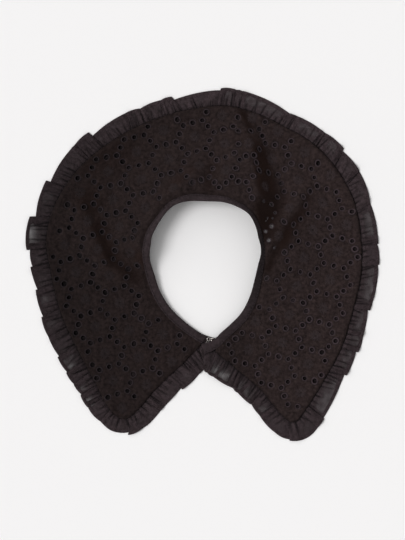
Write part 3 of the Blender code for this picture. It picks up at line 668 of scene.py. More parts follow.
def stitches(start: Array, finish: Array, normal: Array, radius: float, sink: float = 0.35) -> Surface:
    """Lay a short rounded stitch between each pair of points.

    The point at station s and angle a is start + s (finish - start) + r(s) (cos a · side + sin a · up),
    with r(s) small at both ends and full between, so each stitch dives into the cloth at its ends.

    Args:
        start: where each stitch comes up.
        finish: where it goes down.
        normal: the way out of the cloth at each stitch.
        radius: the thread's radius where it is fullest.
        sink: how deep the ends lie, as a share of the radius.

    Returns:
        All the stitches as one surface.
    """
    sides = 5
    station = np.array([0.0, 0.18, 0.5, 0.82, 1.0])
    fullness = np.array([0.35, 0.85, 1.0, 0.85, 0.35])
    lift = np.array([-sink, 0.4, 0.7, 0.4, -sink])
    run = finish - start
    side = np.cross(normal, run)
    side /= np.linalg.norm(side, axis=1)[:, None]
    turn = np.arange(sides) * 2.0 * np.pi / sides
    middle = start[:, None] + station[None, :, None] * run[:, None]
    middle = middle + (lift * radius)[None, :, None] * normal[:, None]
    around = np.cos(turn)[None, :, None] * side[:, None] + np.sin(turn)[None, :, None] * normal[:, None]
    points = middle[:, :, None] + (fullness * radius)[None, :, None, None] * around[:, None]
    count, each = len(start), len(station) * sides
    quads = repeated(grid_faces(len(station), sides, closed=True)[:, ::-1], count, each)
    caps = np.array([np.arange(sides)[::-1], each - sides + np.arange(sides)])
    return Surface(points.reshape(-1, 3), quads.tolist() + repeated(caps, count, each).tolist(), None,
                   {"painted_light": np.ones(points.size // 3)})


# ---------------------------------------------------------------------------------------------
# Finishes
# ---------------------------------------------------------------------------------------------

# A wave texture repeats every pi / 10 of a unit at scale 1, so this over a length repeats at that length.
WAVE_SCALE = math.pi / 10.0


def linear(colour: str) -> tuple[float, float, float, float]:
    """Turn an sRGB hex colour into linear red, green and blue with full alpha."""
    parts = [int(colour[k:k + 2], 16) / 255.0 for k in (1, 3, 5)]
    return (*[c / 12.92 if c <= 0.04045 else ((c + 0.055) / 1.055) ** 2.4 for c in parts], 1.0)


def add_node(tree: bpy.types.NodeTree, kind: str, inputs: dict | None = None, **settings) -> bpy.types.Node:
    """Add a node with its settings and links.

    Args:
        tree: the material's nodes.
        kind: the node's type.
        inputs: for each input a value, or the socket that feeds it.
        **settings: the node's own settings.

    Returns:
        The new node.
    """
    made = tree.nodes.new(kind)
    for name, value in settings.items():
        setattr(made, name, value)
    for name, value in (inputs or {}).items():
        if isinstance(value, bpy.types.NodeSocket):
            tree.links.new(value, made.inputs[name])
        else:
            made.inputs[name].default_value = value
    return made


def new_material(name: str) -> tuple[bpy.types.Material, bpy.types.NodeTree, bpy.types.Node]:
    """Make an empty material.

    Args:
        name: the material's name.

    Returns:
        The material, its nodes and its Principled shader.
    """
    material = bpy.data.materials.new(name)
    material.use_nodes = True
    return material, material.node_tree, material.node_tree.nodes["Principled BSDF"]


def two_tones(tree: bpy.types.NodeTree, place: bpy.types.NodeSocket, tones: tuple[str, str],
              patch: float) -> bpy.types.NodeSocket:
    """Mix two tones in soft patches, as cloth that took the dye unevenly and then wore.

    Args:
        tree: the material's nodes.
        place: coordinates in metres.
        tones: the darker and the lighter tone, as hex colours.
        patch: the size of a patch in millimetres.

    Returns:
        The mixed colour.
    """
    patches = add_node(tree, "ShaderNodeTexNoise", {
        "Vector": place, "Scale": 1.0 / (patch * MM), "Detail": 6.0, "Roughness": 0.72})
    share = add_node(tree, "ShaderNodeMapRange", {
        "Value": patches.outputs["Fac"], "From Min": 0.34, "From Max": 0.66})
    mix = add_node(tree, "ShaderNodeMix", {"Factor": share.outputs["Result"]}, data_type="RGBA")
    for socket, tone in zip([s for s in mix.inputs if s.type == "RGBA"], tones):
        socket.default_value = linear(tone)
    return next(s for s in mix.outputs if s.type == "RGBA")


def times_painted_light(tree: bpy.types.NodeTree, colour: bpy.types.NodeSocket) -> bpy.types.NodeSocket:
    """Scale a colour by painted light and shade: darker in creases, grooves and shaded places, lighter where
    light falls.

    Args:
        tree: the material's nodes.
        colour: the colour in the open.

    Returns:
        The colour times the mesh's painted light value, which is 1 in the open, less where shade is painted
        and more where light is painted.
    """
    painted_light = add_node(tree, "ShaderNodeAttribute", attribute_name="painted_light")
    scaled = add_node(tree, "ShaderNodeVectorMath", {0: colour, "Scale": painted_light.outputs["Fac"]},
                      operation="SCALE")
    return scaled.outputs["Vector"]


def cover(light: Array | float) -> Array:
    """Return how much light one face of a sheet stops, from the share that the sheet lets through."""
    return 1.0 - np.sqrt(light)


def plain_weave(tree: bpy.types.NodeTree, place: bpy.types.NodeSocket, thread: float) -> bpy.types.NodeSocket:
    """Return the height of a plain weave: two sets of threads, one thread apart, added together.

    Args:
        tree: the material's nodes.
        place: pattern coordinates in metres that run with the grain.
        thread: how far apart the threads lie, in millimetres.

    Returns:
        The height, from 0 to 2.
    """
    sets = [add_node(tree, "ShaderNodeTexWave", {
        "Vector": place, "Scale": WAVE_SCALE / (thread * MM), "Distortion": 0.6, "Detail": 1.0},
        bands_direction=direction) for direction in ("X", "Y")]
    both = add_node(tree, "ShaderNodeMath", {0: sets[0].outputs["Fac"], 1: sets[1].outputs["Fac"]},
                    operation="ADD")
    return both.outputs[0]


class Weave(Enum):
    """How close the threads lie, in millimetres, drawn coarser than they are so that they show."""

    LAWN = 0.62
    VOILE = 0.75


@dataclass(frozen=True)
class EyeletCotton:
    """Cotton lawn, dyed black and washed soft: nearly matt, warm, with slubs and a faint bloom."""

    name: str = "cotton_lawn_dyed_black"
    tones: tuple[str, str] = ("#241c1c", "#483c3b")
    # The brown that paints shade on steep slopes and along folds.
    painted_shade_tone: str = "#35231d"
    bloom_tone: str = "#8c7a78"
    # Patches of deeper dye are a few millimetres across. A slub, a thick place in the yarn, is 1 to 2 mm
    # long, and stands about twice as high as a thread.
    patch: float = 3.2
    slub: float = 1.6
    slub_height: float = 2.2
    relief: float = 0.4
    # How the colour is scaled, from darker at the left to lighter at the right, over these x places.
    left_to_right_scale: tuple[float, float] = (0.80, 1.57)
    left_to_right_from: tuple[float, float] = (-140.0, 120.0)
    roughness: float = 0.9
    bloom: float = 0.22

    def material(self) -> bpy.types.Material:
        """Make the material: two tones in patches, slubs and a plain weave as relief.

        The fold-shade value of the mesh mixes in a brown that paints shade on steep slopes, along listed
        folds and round the neck.

        Returns:
            The material.
        """
        material, tree, shader = new_material(self.name)
        place = add_node(tree, "ShaderNodeTexCoord").outputs["Object"]
        grain = add_node(tree, "ShaderNodeUVMap", uv_map="UVMap").outputs["UV"]
        across = add_node(tree, "ShaderNodeSeparateXYZ", {"Vector": place}).outputs["X"]
        # The colour is scaled from darker at the left to lighter at the right.
        left_to_right_scale = add_node(tree, "ShaderNodeMapRange", {
            "Value": across, "From Min": self.left_to_right_from[0] * MM, "From Max": self.left_to_right_from[1] * MM,
            "To Min": self.left_to_right_scale[0], "To Max": self.left_to_right_scale[1]})
        scaled_colour = add_node(tree, "ShaderNodeVectorMath", {
            0: two_tones(tree, place, self.tones, self.patch), "Scale": left_to_right_scale.outputs["Result"]},
            operation="SCALE")
        # Painted shade: brown mixed in where the mesh's fold-shade value is high.
        painted_fold_shade = add_node(tree, "ShaderNodeAttribute", attribute_name="painted_fold_shade")
        colour = add_node(tree, "ShaderNodeMix", {"Factor": painted_fold_shade.outputs["Fac"]}, data_type="RGBA")
        plain, painted_brown_shade = [socket for socket in colour.inputs if socket.type == "RGBA"]
        tree.links.new(scaled_colour.outputs["Vector"], plain)
        painted_brown_shade.default_value = linear(self.painted_shade_tone)
        mixed = next(socket for socket in colour.outputs if socket.type == "RGBA")
        tree.links.new(times_painted_light(tree, mixed), shader.inputs["Base Color"])
        weave = plain_weave(tree, grain, Weave.LAWN.value)
        slubs = add_node(tree, "ShaderNodeTexNoise", {
            "Vector": grain, "Scale": 1.0 / (self.slub * MM), "Detail": 4.0, "Roughness": 0.65})
        height = add_node(tree, "ShaderNodeMath", {0: slubs.outputs["Fac"], 1: self.slub_height, 2: weave},
                          operation="MULTIPLY_ADD")
        bump = add_node(tree, "ShaderNodeBump", {
            "Height": height.outputs[0], "Strength": 1.0, "Distance": self.relief * MM})
        tree.links.new(bump.outputs["Normal"], shader.inputs["Normal"])
        shader.inputs["Roughness"].default_value = self.roughness
        shader.inputs["Specular IOR Level"].default_value = 0.1
        shader.inputs["Sheen Weight"].default_value = self.bloom
        shader.inputs["Sheen Roughness"].default_value = 0.45
        shader.inputs["Sheen Tint"].default_value = linear(self.bloom_tone)
        return material


@dataclass(frozen=True)
class SheerVoile:
    """Cotton voile, dyed black: fine open threads, so one layer over white looks smoky grey.

    The cover value of the mesh is how much light one face stops. A sheet has two faces, so each lets
    the square root of the light through.
    """

    name: str = "cotton_voile_dyed_black"
    tones: tuple[str, str] = ("#2e2627", "#463c3f")
    bloom_tone: str = "#a89ca2"
    patch: float = 3.0
    relief: float = 0.06
    roughness: float = 0.8
    bloom: float = 0.16

    def material(self) -> bpy.types.Material:
        """Make the material: tones in patches, a plain weave as relief, and open weave as alpha.

        Returns:
            The material.
        """
        material, tree, shader = new_material(self.name)
        place = add_node(tree, "ShaderNodeTexCoord").outputs["Object"]
        grain = add_node(tree, "ShaderNodeUVMap", uv_map="UVMap").outputs["UV"]
        # The tones times the mesh's painted light and shade.
        colour = times_painted_light(tree, two_tones(tree, place, self.tones, self.patch))
        tree.links.new(colour, shader.inputs["Base Color"])
        weave = plain_weave(tree, grain, Weave.VOILE.value)
        bump = add_node(tree, "ShaderNodeBump", {
            "Height": weave, "Strength": 1.0, "Distance": self.relief * MM})
        tree.links.new(bump.outputs["Normal"], shader.inputs["Normal"])
        stopped = add_node(tree, "ShaderNodeAttribute", attribute_name="cover")
        tree.links.new(stopped.outputs["Fac"], shader.inputs["Alpha"])
        shader.inputs["Roughness"].default_value = self.roughness
        shader.inputs["Specular IOR Level"].default_value = 0.15
        shader.inputs["Sheen Weight"].default_value = self.bloom
        shader.inputs["Sheen Roughness"].default_value = 0.45
        shader.inputs["Sheen Tint"].default_value = linear(self.bloom_tone)
        return material


@dataclass(frozen=True)
class SatinThread:
    """Mercerised cotton thread laid side by side: a soft shine that runs across the threads."""

    name: str = "mercerised_cotton_thread"
    tones: tuple[str, str] = ("#3a3133", "#45393d")
    bloom_tone: str = "#8c8082"
    patch: float = 6.0
    # Embroidery thread is about 0.25 mm thick; at twice that its ridges still show.
    thread: float = 0.5
    relief: float = 0.12
    roughness: float = 0.7
    bloom: float = 0.22

    def material(self) -> bpy.types.Material:
        """Make the material: threads as ridges along the pattern's first coordinate.

        The painted light value of the mesh is 1 on the thread, and low at the hole's edge and the foot beside
        it, where shade is painted.

        Returns:
            The material.
        """
        material, tree, shader = new_material(self.name)
        place = add_node(tree, "ShaderNodeTexCoord").outputs["Object"]
        thread_place = add_node(tree, "ShaderNodeUVMap", uv_map="UVMap").outputs["UV"]
        colour = times_painted_light(tree, two_tones(tree, place, self.tones, self.patch))
        tree.links.new(colour, shader.inputs["Base Color"])
        threads = add_node(tree, "ShaderNodeTexWave", {
            "Vector": thread_place, "Scale": WAVE_SCALE / (self.thread * MM)}, bands_direction="X")
        bump = add_node(tree, "ShaderNodeBump", {
            "Height": threads.outputs["Fac"], "Strength": 1.0, "Distance": self.relief * MM})
        tree.links.new(bump.outputs["Normal"], shader.inputs["Normal"])
        shader.inputs["Roughness"].default_value = self.roughness
        shader.inputs["Specular IOR Level"].default_value = 0.2
        shader.inputs["Sheen Weight"].default_value = self.bloom
        shader.inputs["Sheen Tint"].default_value = linear(self.bloom_tone)
        return material


@dataclass(frozen=True)
class NickelWire:
    """Drawn brass wire with bright nickel plating, faintly dulled by handling."""

    name: str = "nickel_plated_wire"
    colour: str = "#cfcac6"
    roughness: float = 0.28
    smudge: float = 0.8

    def material(self) -> bpy.types.Material:
        """Make the material: a metal with slightly uneven roughness.

        Returns:
            The material.
        """
        material, tree, shader = new_material(self.name)
        place = add_node(tree, "ShaderNodeTexCoord").outputs["Object"]
        dulled = add_node(tree, "ShaderNodeTexNoise", {
            "Vector": place, "Scale": 1.0 / (self.smudge * MM), "Detail": 2.0})
        rough = add_node(tree, "ShaderNodeMapRange", {
            "Value": dulled.outputs["Fac"], "To Min": self.roughness - 0.1, "To Max": self.roughness + 0.15})
        tree.links.new(rough.outputs["Result"], shader.inputs["Roughness"])
        shader.inputs["Base Color"].default_value = linear(self.colour)
        shader.inputs["Metallic"].default_value = 1.0
        return material


@dataclass(frozen=True)
class PaperFloor:
    """White seamless paper under the collar: matt and even."""

    name: str = "seamless_paper"
    colour: str = "#f1f0f0"

    def material(self) -> bpy.types.Material:
        """Make the material: one matt white.

        Returns:
            The material.
        """
        material, _, shader = new_material(self.name)
        shader.inputs["Base Color"].default_value = linear(self.colour)
        shader.inputs["Roughness"].default_value = 0.95
        shader.inputs["Specular IOR Level"].default_value = 0.1
        return material


# ---------------------------------------------------------------------------------------------
# The eyelet pattern
# ---------------------------------------------------------------------------------------------

@dataclass
class EyeletPattern:
    """The honeycomb of the eyelet cotton: a daisy in each cell, and twelve eyelets round it."""

    cloth: LaidCloth
    step_across: float = 33.8
    step_along: float = 28.8
    angle: float = 65.5
    blend: float = 25.5
    columns: tuple[int, int] = (-5, 12)
    rows: tuple[int, int] = (-6, 11)
    left_front_column: float = 2.0
    right_front_column: float = 5.9
    edge_clear: float = 3.4
    eyelet_clear: float = 6.2
    daisy_clear: float = 5.2

    def lattice(self) -> Array:
        """Return the two steps of the honeycomb where its rows run straight."""
        turn = math.radians(self.angle)
        return np.array([[self.step_across * math.cos(turn), self.step_across * math.sin(turn)],
                         [self.step_along, 0.0]])

    def steps(self) -> tuple[Array, Array]:
        """Work out the honeycomb's steps at each mark of the grain table.

        Returns:
            The plan step of one column and that of one row, a row for each mark.
        """
        along = np.radians(np.array(GRAIN)[:, 4])
        across = along + math.radians(self.angle)
        return (self.step_across * np.stack([np.sin(across), -np.cos(across)], axis=1),
                self.step_along * np.stack([np.sin(along), -np.cos(along)], axis=1))

    def place(self, flowers: Array) -> Array:
        """Lay honeycomb positions on the cloth: a blend of what each near mark says, by a bell weight.

        Args:
            flowers: columns and rows, as whole or part numbers.

        Returns:
            The plan points.
        """
        table = np.array(GRAIN)
        column_step, row_step = self.steps()
        apart = ((flowers @ self.lattice())[:, None] - (table[:, :2] @ self.lattice())[None]) / self.blend
        weight = np.exp(-0.5 * (apart ** 2).sum(axis=2)) + 1e-12
        step = flowers[:, None] - table[None, :, :2]
        guess = table[None, :, 2:4] + step[..., :1] * column_step[None] + step[..., 1:] * row_step[None]
        return (guess * weight[..., None]).sum(axis=1) / weight.sum(axis=1)[:, None]

    def grain(self, plan: Array) -> Array:
        """Work out pattern coordinates that run with the threads: the method place, read backwards.

        Args:
            plan: the plan points.

        Returns:
            The coordinates in millimetres.
        """
        table = np.array(GRAIN)
        column_step, row_step = self.steps()
        back = np.linalg.inv(np.stack([column_step, row_step], axis=1))
        found = []
        for block in in_blocks(plan):
            offset = block[:, None] - table[None, :, 2:4]
            weight = np.exp(-0.5 * ((offset / (1.2 * self.blend)) ** 2).sum(axis=2)) + 1e-12
            guess = table[None, :, :2] + np.einsum("nmi,mij->nmj", offset, back)
            found.append((guess * weight[..., None]).sum(axis=1) / weight.sum(axis=1)[:, None])
        return np.concatenate(found) @ self.lattice()

    def on_cloth(self, flowers: Array) -> Array:
        """Tell which positions are on the cloth: it is cut open in front of the back rows."""
        column, row = flowers[:, 0], flowers[:, 1]
        return (row < 1.5) | (column < self.left_front_column) | (column > self.right_front_column)

    def whole(self, centres: Array, clear: float) -> Array:
        """Tell which plan points lie on the leaf and clear of its edges.

        Args:
            centres: the plan points.
            clear: how far from the edges they have to be.

        Returns:
            True for each point that does.
        """
        to_seam, at_seam = nearest(centres, self.cloth.seam.points)
        to_inner, at_inner = nearest(centres, self.cloth.inner.points[:, :2])
        seam_side = ((centres - self.cloth.seam.points[at_seam]) * self.cloth.seam.side[at_seam]).sum(axis=1)
        inner_side = ((centres - self.cloth.inner.points[at_inner, :2])
                      * self.cloth.inner.side[at_inner]).sum(axis=1)
        return (seam_side < 0.0) & (inner_side > 0.0) & (to_seam > clear) & (to_inner > clear)

    def flowers(self) -> Array:
        """Return the column and row of every cell that could be on the cloth."""
        return np.array([(c, r) for c in range(*self.columns) for r in range(*self.rows)], float)

    def eyelets(self) -> Array:
        """Place the eyelets: at the six corners and six edge middles round each daisy.

        Returns:
            The middles of those that lie whole on the leaf, with room between them.
        """
        corners = [(1 / 3, 1 / 3), (2 / 3, -1 / 3), (1 / 3, -2 / 3), (-1 / 3, -1 / 3), (-2 / 3, 1 / 3),
                   (-1 / 3, 2 / 3)]
        edges = [(0.5, 0.0), (0.0, 0.5), (0.5, -0.5), (-0.5, 0.0), (0.0, -0.5), (-0.5, 0.5)]
        sixths = np.round((self.flowers()[:, None] + np.array(corners + edges)[None]).reshape(-1, 2) * 6.0)
        spots = np.unique(sixths, axis=0) / 6.0
        centres = self.place(spots[self.on_cloth(spots)])
        taken = np.empty((0, 2))
        for centre in centres[self.whole(centres, self.edge_clear)]:
            if len(taken) == 0 or np.hypot(*(taken - centre).T).min() >= self.eyelet_clear:
                taken = np.vstack([taken, centre])
        return taken

    def daisies(self, eyelets: Array) -> Array:
        """Place the daisies that have room between the eyelets and the edges.

        Args:
            eyelets: the middles of the eyelets.

        Returns:
            The middles of the daisies.
        """
        flowers = self.flowers()
        centres = self.place(flowers[self.on_cloth(flowers)])
        centres = centres[self.whole(centres, self.daisy_clear)]
        return centres[nearest(centres, eyelets)[0] > self.daisy_clear + 2.0]


# ---------------------------------------------------------------------------------------------
# The cloth pieces
# ---------------------------------------------------------------------------------------------

@dataclass
class CollarLeaf:
    """The eyelet cotton leaf: a fine sheet on its solid's form, its eyelets cut and whipped."""

    cloth: LaidCloth
    pattern: EyeletPattern
    stations: int = 600
    rows: int = 77
    thickness: float = 0.4
    tuck_under: float = 1.2
    hole: float = 2.9
    cut_within: float = 3.25
    rim_inner: tuple[float, float] = (2.55, 2.1)
    rim_outer: float = 3.45
    rim_height: float = 0.5
    rim_foot: float = 0.5
    rim_sides: int = 14
    # The rim from hole to cloth: share of its width, share of its height, and its painted light, with shade
    # painted at the hole's edge and down at the foot.
    rim_profile: tuple[tuple[float, float, float], ...] = (
        (0.0, -1.6, 0.3), (0.06, 0.5, 1.0), (0.5, 1.0, 1.0), (1.0, 0.06, 0.7), (1.0, 0.04, 0.0),
    )
    petals: int = 16
    petal_start: float = 0.9
    petal_length: float = 5.3
    petal_width: float = 0.8
    petal_height: float = 0.36
    petal_root: float = 0.3
    # How much shade is painted on the cloth round each daisy.
    petal_shade: float = 0.1
    # A petal from heart to end: share of its length, and share of its width.
    petal_profile: tuple[tuple[float, float], ...] = ((0.0, 0.35), (0.35, 0.75), (0.8, 1.0), (1.0, 0.3))
    # Scale of the thread's colour, from darker at the left to lighter at the right, over these x places.
    rim_tone: tuple[float, float] = (0.6, 1.42)
    rim_tone_from: tuple[float, float] = (-150.0, 150.0)
    billow: float = 0.6
    billow_length: float = 14.0
    edge_drop: float = 1.1
    edge_reach: float = 3.5
    seam_pucker: float = 0.38
    pucker_pitch: float = 6.8
    pucker_wander: float = 2.2
    pucker_reach: float = 3.6
    soft_heights: tuple[float, float] = (0.35, 0.12)
    soft_lengths: tuple[float, float] = (22.0, 7.0)
    binding_press: float = 0.5
    slope_step: float = 2.0
    steep_slopes: tuple[float, float] = (0.35, 0.95)
    # A line of painted shade along the seam, its width and depth, and how much the painted fold shade darkens
    # the cloth.
    seam_line: float = 1.3
    seam_shade: float = 0.5
    brown_shade: float = 0.4
    # Lengths along the inner line, and the places on the seam that straight runs join them to.
    matches: tuple[tuple[float, float], ...] = (
        (0.0, 7.5), (12.0, 60.0), (33.5, 118.2), (64.5, 205.0), (95.2, 284.3), (130.4, 369.5),
        (169.4, 453.4), (210.7, 536.7), (251.6, 622.7), (291.6, 709.2), (326.2, 793.3),
        (356.3, 874.8), (388.7, 964.2), (408.0, 1020.0), (421.1, 1071.5),
    )
    small_clear: float = 5.0
    eyelets: Array = field(init=False)
    size: Array = field(init=False)
    hearts: Array = field(init=False)

    def __post_init__(self) -> None:
        """Place the eyelets and daisies; the small eyelets take the place of whole ones near them."""
        small = np.array(SMALL_EYELETS)
        whole = self.pattern.eyelets()
        whole = whole[nearest(whole, small[:, :2])[0] > self.small_clear]
        self.eyelets = np.vstack([whole, small[:, :2]])
        self.size = np.concatenate([np.ones(len(whole)), small[:, 2]])
        self.hearts = self.pattern.daisies(self.eyelets)

    def top(self, plan: Array) -> Array:
        """Work out the height of the leaf's face.

        It is the top of the stack, plus creases, a billow between the stiff stitched places, small
        puckers square to the seam, and soft unevenness, less the drop of the edge to the seam.

        Args:
            plan: the plan points.

        Returns:
            The height at each point.
        """
        across, to_seam = self.cloth.across(plan)
        stitched = np.minimum(nearest(plan, self.eyelets)[0] - self.rim_outer - 0.9,
                              nearest(plan, self.hearts)[0] - self.petal_start - self.petal_length + 1.0)
        past, _ = self.cloth.past_binding(plan)
        held = ramp(past, 0.5, 4.0)
        bulge = 1.0 + 0.6 * unevenness(plan, self.billow_length, 3)
        billow = self.billow * ramp(stitched, 0.0, 5.0) * bulge * held
        _, at_seam = nearest(plan, self.cloth.seam.points)
        along = self.cloth.seam.length[at_seam]
        wander = self.pucker_wander * unevenness(along[:, None], 31.0, 5)
        gather = np.sin(2.0 * np.pi * along / self.pucker_pitch + wander)
        pucker = self.seam_pucker * gather * np.exp(-to_seam / self.pucker_reach) * ramp(to_seam, 0.0, 1.5)
        edge = self.edge_drop * (1.0 - ramp(to_seam, 0.0, self.edge_reach))
        soft = (self.soft_heights[0] * unevenness(plan, self.soft_lengths[0], 8)
                + self.soft_heights[1] * unevenness(plan, self.soft_lengths[1], 9))
        settled = ramp(1.0 - across, 0.0, 0.08) * held
        return (self.cloth.ground(plan) + self.cloth.stack_top + self.cloth.creases(plan) + billow + pucker
                + soft * settled - edge - self.binding_press * (1.0 - held))

    def sheet_plan(self) -> Array:
        """Lay out the plan grid: straight runs from the inner line to matched places on the seam.

        Returns:
            The plan points, run after run.
        """
        pairs = np.array(self.matches)
        u = np.linspace(pairs[0, 1], pairs[-1, 1], self.stations)
        at_inner = np.interp(u, pairs[:, 1], pairs[:, 0])
        _, drawn = self.cloth.past_binding(self.cloth.inner.place(at_inner))
        inner = self.cloth.inner.place(at_inner, -self.tuck_under - drawn)
        outer = self.cloth.seam.place(u)
        share = np.linspace(0.0, 1.0, self.rows)[None, :, None]
        return (inner[:, None] * (1.0 - share) + outer[:, None] * share).reshape(-1, 2)

    def build_sheet(self, material: bpy.types.Material) -> bpy.types.Object:
        """Make the sheet, with a round hole at each eyelet.

        The faces over a hole go, and the points left round it move on to its circle.

        Args:
            material: the cotton.

        Returns:
            The sheet's object.
        """
        plan = self.sheet_plan()
        quads = grid_faces(self.stations, self.rows)
        away, closest = nearest(plan[quads].mean(axis=1), self.eyelets)
        keep = away > self.cut_within * self.size[closest]
        inside, outside = np.zeros(len(plan), bool), np.zeros(len(plan), bool)
        inside[quads[~keep]] = True
        outside[quads[keep]] = True
        rim = inside & outside
        _, index = nearest(plan[rim], self.eyelets)
        offset = plan[rim] - self.eyelets[index]
        reach = self.hole * self.size[index] / np.linalg.norm(offset, axis=1)
        plan[rim] = self.eyelets[index] + offset * reach[:, None]
        quads = quads[keep]
        used, quads = np.unique(quads, return_inverse=True)
        quads = quads.reshape(-1, 4)
        plan = plan[used]
        points = np.column_stack([plan, self.top(plan)])
        slope = np.stack([self.cloth.ground(plan + step) - self.cloth.ground(plan - step)
                          for step in self.slope_step * np.eye(2)], axis=1) / (2.0 * self.slope_step)
        # Painted fold shade: brown mixed in on steep slopes and along the listed folds.
        painted_fold_shade = ramp(np.linalg.norm(slope, axis=1), *self.steep_slopes)
        painted_brown_shade = self.cloth.folds(plan, PAINTED_SHADE_FOLDS)
        painted_fold_shade = np.clip(np.maximum(painted_fold_shade, painted_brown_shade), 0.0, 1.0)
        # Painted shade: darker round each daisy, in a line along the seam, and along the listed folds.
        daisy = self.petal_start + self.petal_length
        in_daisy = ramp(nearest(plan, self.hearts)[0], daisy + 0.6, daisy - 0.8)
        at_edge = np.exp(-(self.cloth.seam.distance(plan) / self.seam_line) ** 2)
        painted_light = (1.0 - self.petal_shade * in_daisy) * (1.0 - self.seam_shade * at_edge)
        painted_light = painted_light * (1.0 - self.brown_shade * np.clip(painted_brown_shade, 0.0, 1.0))
        sheet = Surface(points, quads.tolist(), self.pattern.grain(plan), {"painted_fold_shade": painted_fold_shade, "painted_light": painted_light})
        made = sheet.piece("eyelet_leaf", material)
        thicken(made, self.thickness)
        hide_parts("collar_leaf")
        return made

    def build_rims(self, material: bpy.types.Material) -> bpy.types.Object:
        """Make the whipped rims: a rounded profile turned round each eyelet in the cloth's own plane.

        The point at angle a and profile place k is centre + r(k) (cos a · x + sin a · y) + z(k) n. The
        last step of the profile is the foot, where the needle drew the cloth down.

        Args:
            material: the thread.

        Returns:
            All the rims as one object.
        """
        centres, axes = frames_on(self.top, self.eyelets)
        out, up, shade = np.array(self.rim_profile).T
        inner = np.interp(centres[:, :1, None], self.rim_tone_from, self.rim_inner)
        radius = inner + (self.rim_outer - inner) * out
        radius[..., -1] += self.rim_foot
        lift = self.rim_height * up
        draw = np.random.default_rng(11)
        size = (self.size * draw.uniform(0.86, 1.08, len(centres)))[:, None, None]
        oval = draw.uniform(-0.08, 0.08, len(centres))[:, None, None]
        lean = draw.uniform(0.0, np.pi, len(centres))[:, None, None]
        turn = (np.arange(self.rim_sides) * 2.0 * np.pi / self.rim_sides)[None, :, None]
        reach = radius * size * (1.0 + oval * np.cos(2.0 * (turn - lean)))
        even = np.ones_like(reach)
        local = np.stack([reach * np.cos(turn), reach * np.sin(turn), lift[None, None] * even], axis=-1)
        points = centres[:, None, None] + np.einsum("nakc,ncd->nakd", local, axes)
        each = self.rim_sides * len(lift)
        ring = grid_faces(self.rim_sides, len(lift))
        first = np.arange(len(lift) - 1)
        last = first + each - len(lift)
        closing = np.stack([last, first, first + 1, last + 1], axis=1)
        faces = repeated(np.vstack([ring, closing]), len(centres), each)
        pattern = np.stack([turn * (inner + self.rim_outer) / 2.0 * even, reach], axis=-1)
        # Painted shade from the profile, times a scale from darker at the left to lighter at the right.
        tone = np.interp(centres[:, 0], self.rim_tone_from, self.rim_tone)[:, None, None]
        painted_light = tone * shade * even
        rims = Surface(points.reshape(-1, 3), faces.tolist(), pattern.reshape(-1, 2), {"painted_light": painted_light.ravel()})
        made = rims.piece("eyelet_rims", material)
        return made

    def build_daisies(self, material: bpy.types.Material) -> bpy.types.Object:
        """Make the daisies: fine rays of satin stitch round a pinhole, each a low closed wedge.

        The point at s along a ray and t across it is s · length ahead and t · half width · f(s) aside,
        with f growing outwards and round at the end. It lies height · f(s) (1 - t²) above the cloth
        under it, and a floor just inside the cloth closes the wedge.

        Args:
            material: the floss.

        Returns:
            All the daisies as one object.
        """
        along, fullness = np.array(self.petal_profile).T
        across = np.array([-1.0, 0.0, 1.0])
        centres, axes = frames_on(self.top, self.hearts)
        draw = np.random.default_rng(12)
        turn = (np.arange(self.petals) + draw.uniform(-0.15, 0.15, (len(centres), self.petals)))
        turn = turn * 2.0 * np.pi / self.petals + draw.uniform(0.0, 2.0 * np.pi, (len(centres), 1))
        length = self.petal_length * draw.uniform(0.72, 1.08, (len(centres), self.petals))
        ahead = self.petal_start + along[None, None, :, None] * length[..., None, None]
        aside = 0.5 * self.petal_width * fullness[:, None] * across[None]
        lift = self.petal_height * fullness[:, None] * (1.0 - across[None] ** 2)
        cos, sin = np.cos(turn)[..., None, None], np.sin(turn)[..., None, None]
        shape = (len(centres), self.petals, len(along), len(across))
        flat = np.stack([ahead * cos - aside * sin, ahead * sin + aside * cos], axis=-1)
        plan = centres[:, None, None, None, :2] + np.einsum("npkac,ncd->npkad", flat, axes[:, :2, :2])
        ground = self.top(plan.reshape(-1, 2)).reshape(shape)
        upper = np.concatenate([plan, (ground + lift)[..., None]], axis=-1)
        lower = np.concatenate([plan, (ground - self.petal_root)[..., None]], axis=-1)
        points = np.concatenate([upper, lower], axis=2)
        half = len(along) * len(across)
        top = grid_faces(len(along), len(across))
        # The way round the outside of a wedge's four rows of three points.
        edge = np.array([0, 3, 6, 9, 10, 11, 8, 5, 2, 1])
        wall = np.stack([edge, edge + half, np.roll(edge, -1) + half, np.roll(edge, -1)], axis=1)
        petal = np.vstack([top[:, ::-1], top + half, wall[:, ::-1]])
        faces = repeated(petal, len(centres) * self.petals, 2 * half)
        pattern = np.stack([np.broadcast_to(aside, shape), np.broadcast_to(ahead, shape)], axis=-1)
        pattern = np.concatenate([pattern, pattern], axis=2)
        # The floss is scaled from darker at the left to lighter at the right.
        tone = np.interp(centres[:, 0], self.rim_tone_from, self.rim_tone)
        daisies = Surface(points.reshape(-1, 3), faces.tolist(), pattern.reshape(-1, 2),
                          {"painted_light": np.repeat(tone, self.petals * 2 * half)})
        made = daisies.piece("daisy_stitching", material)
        return made


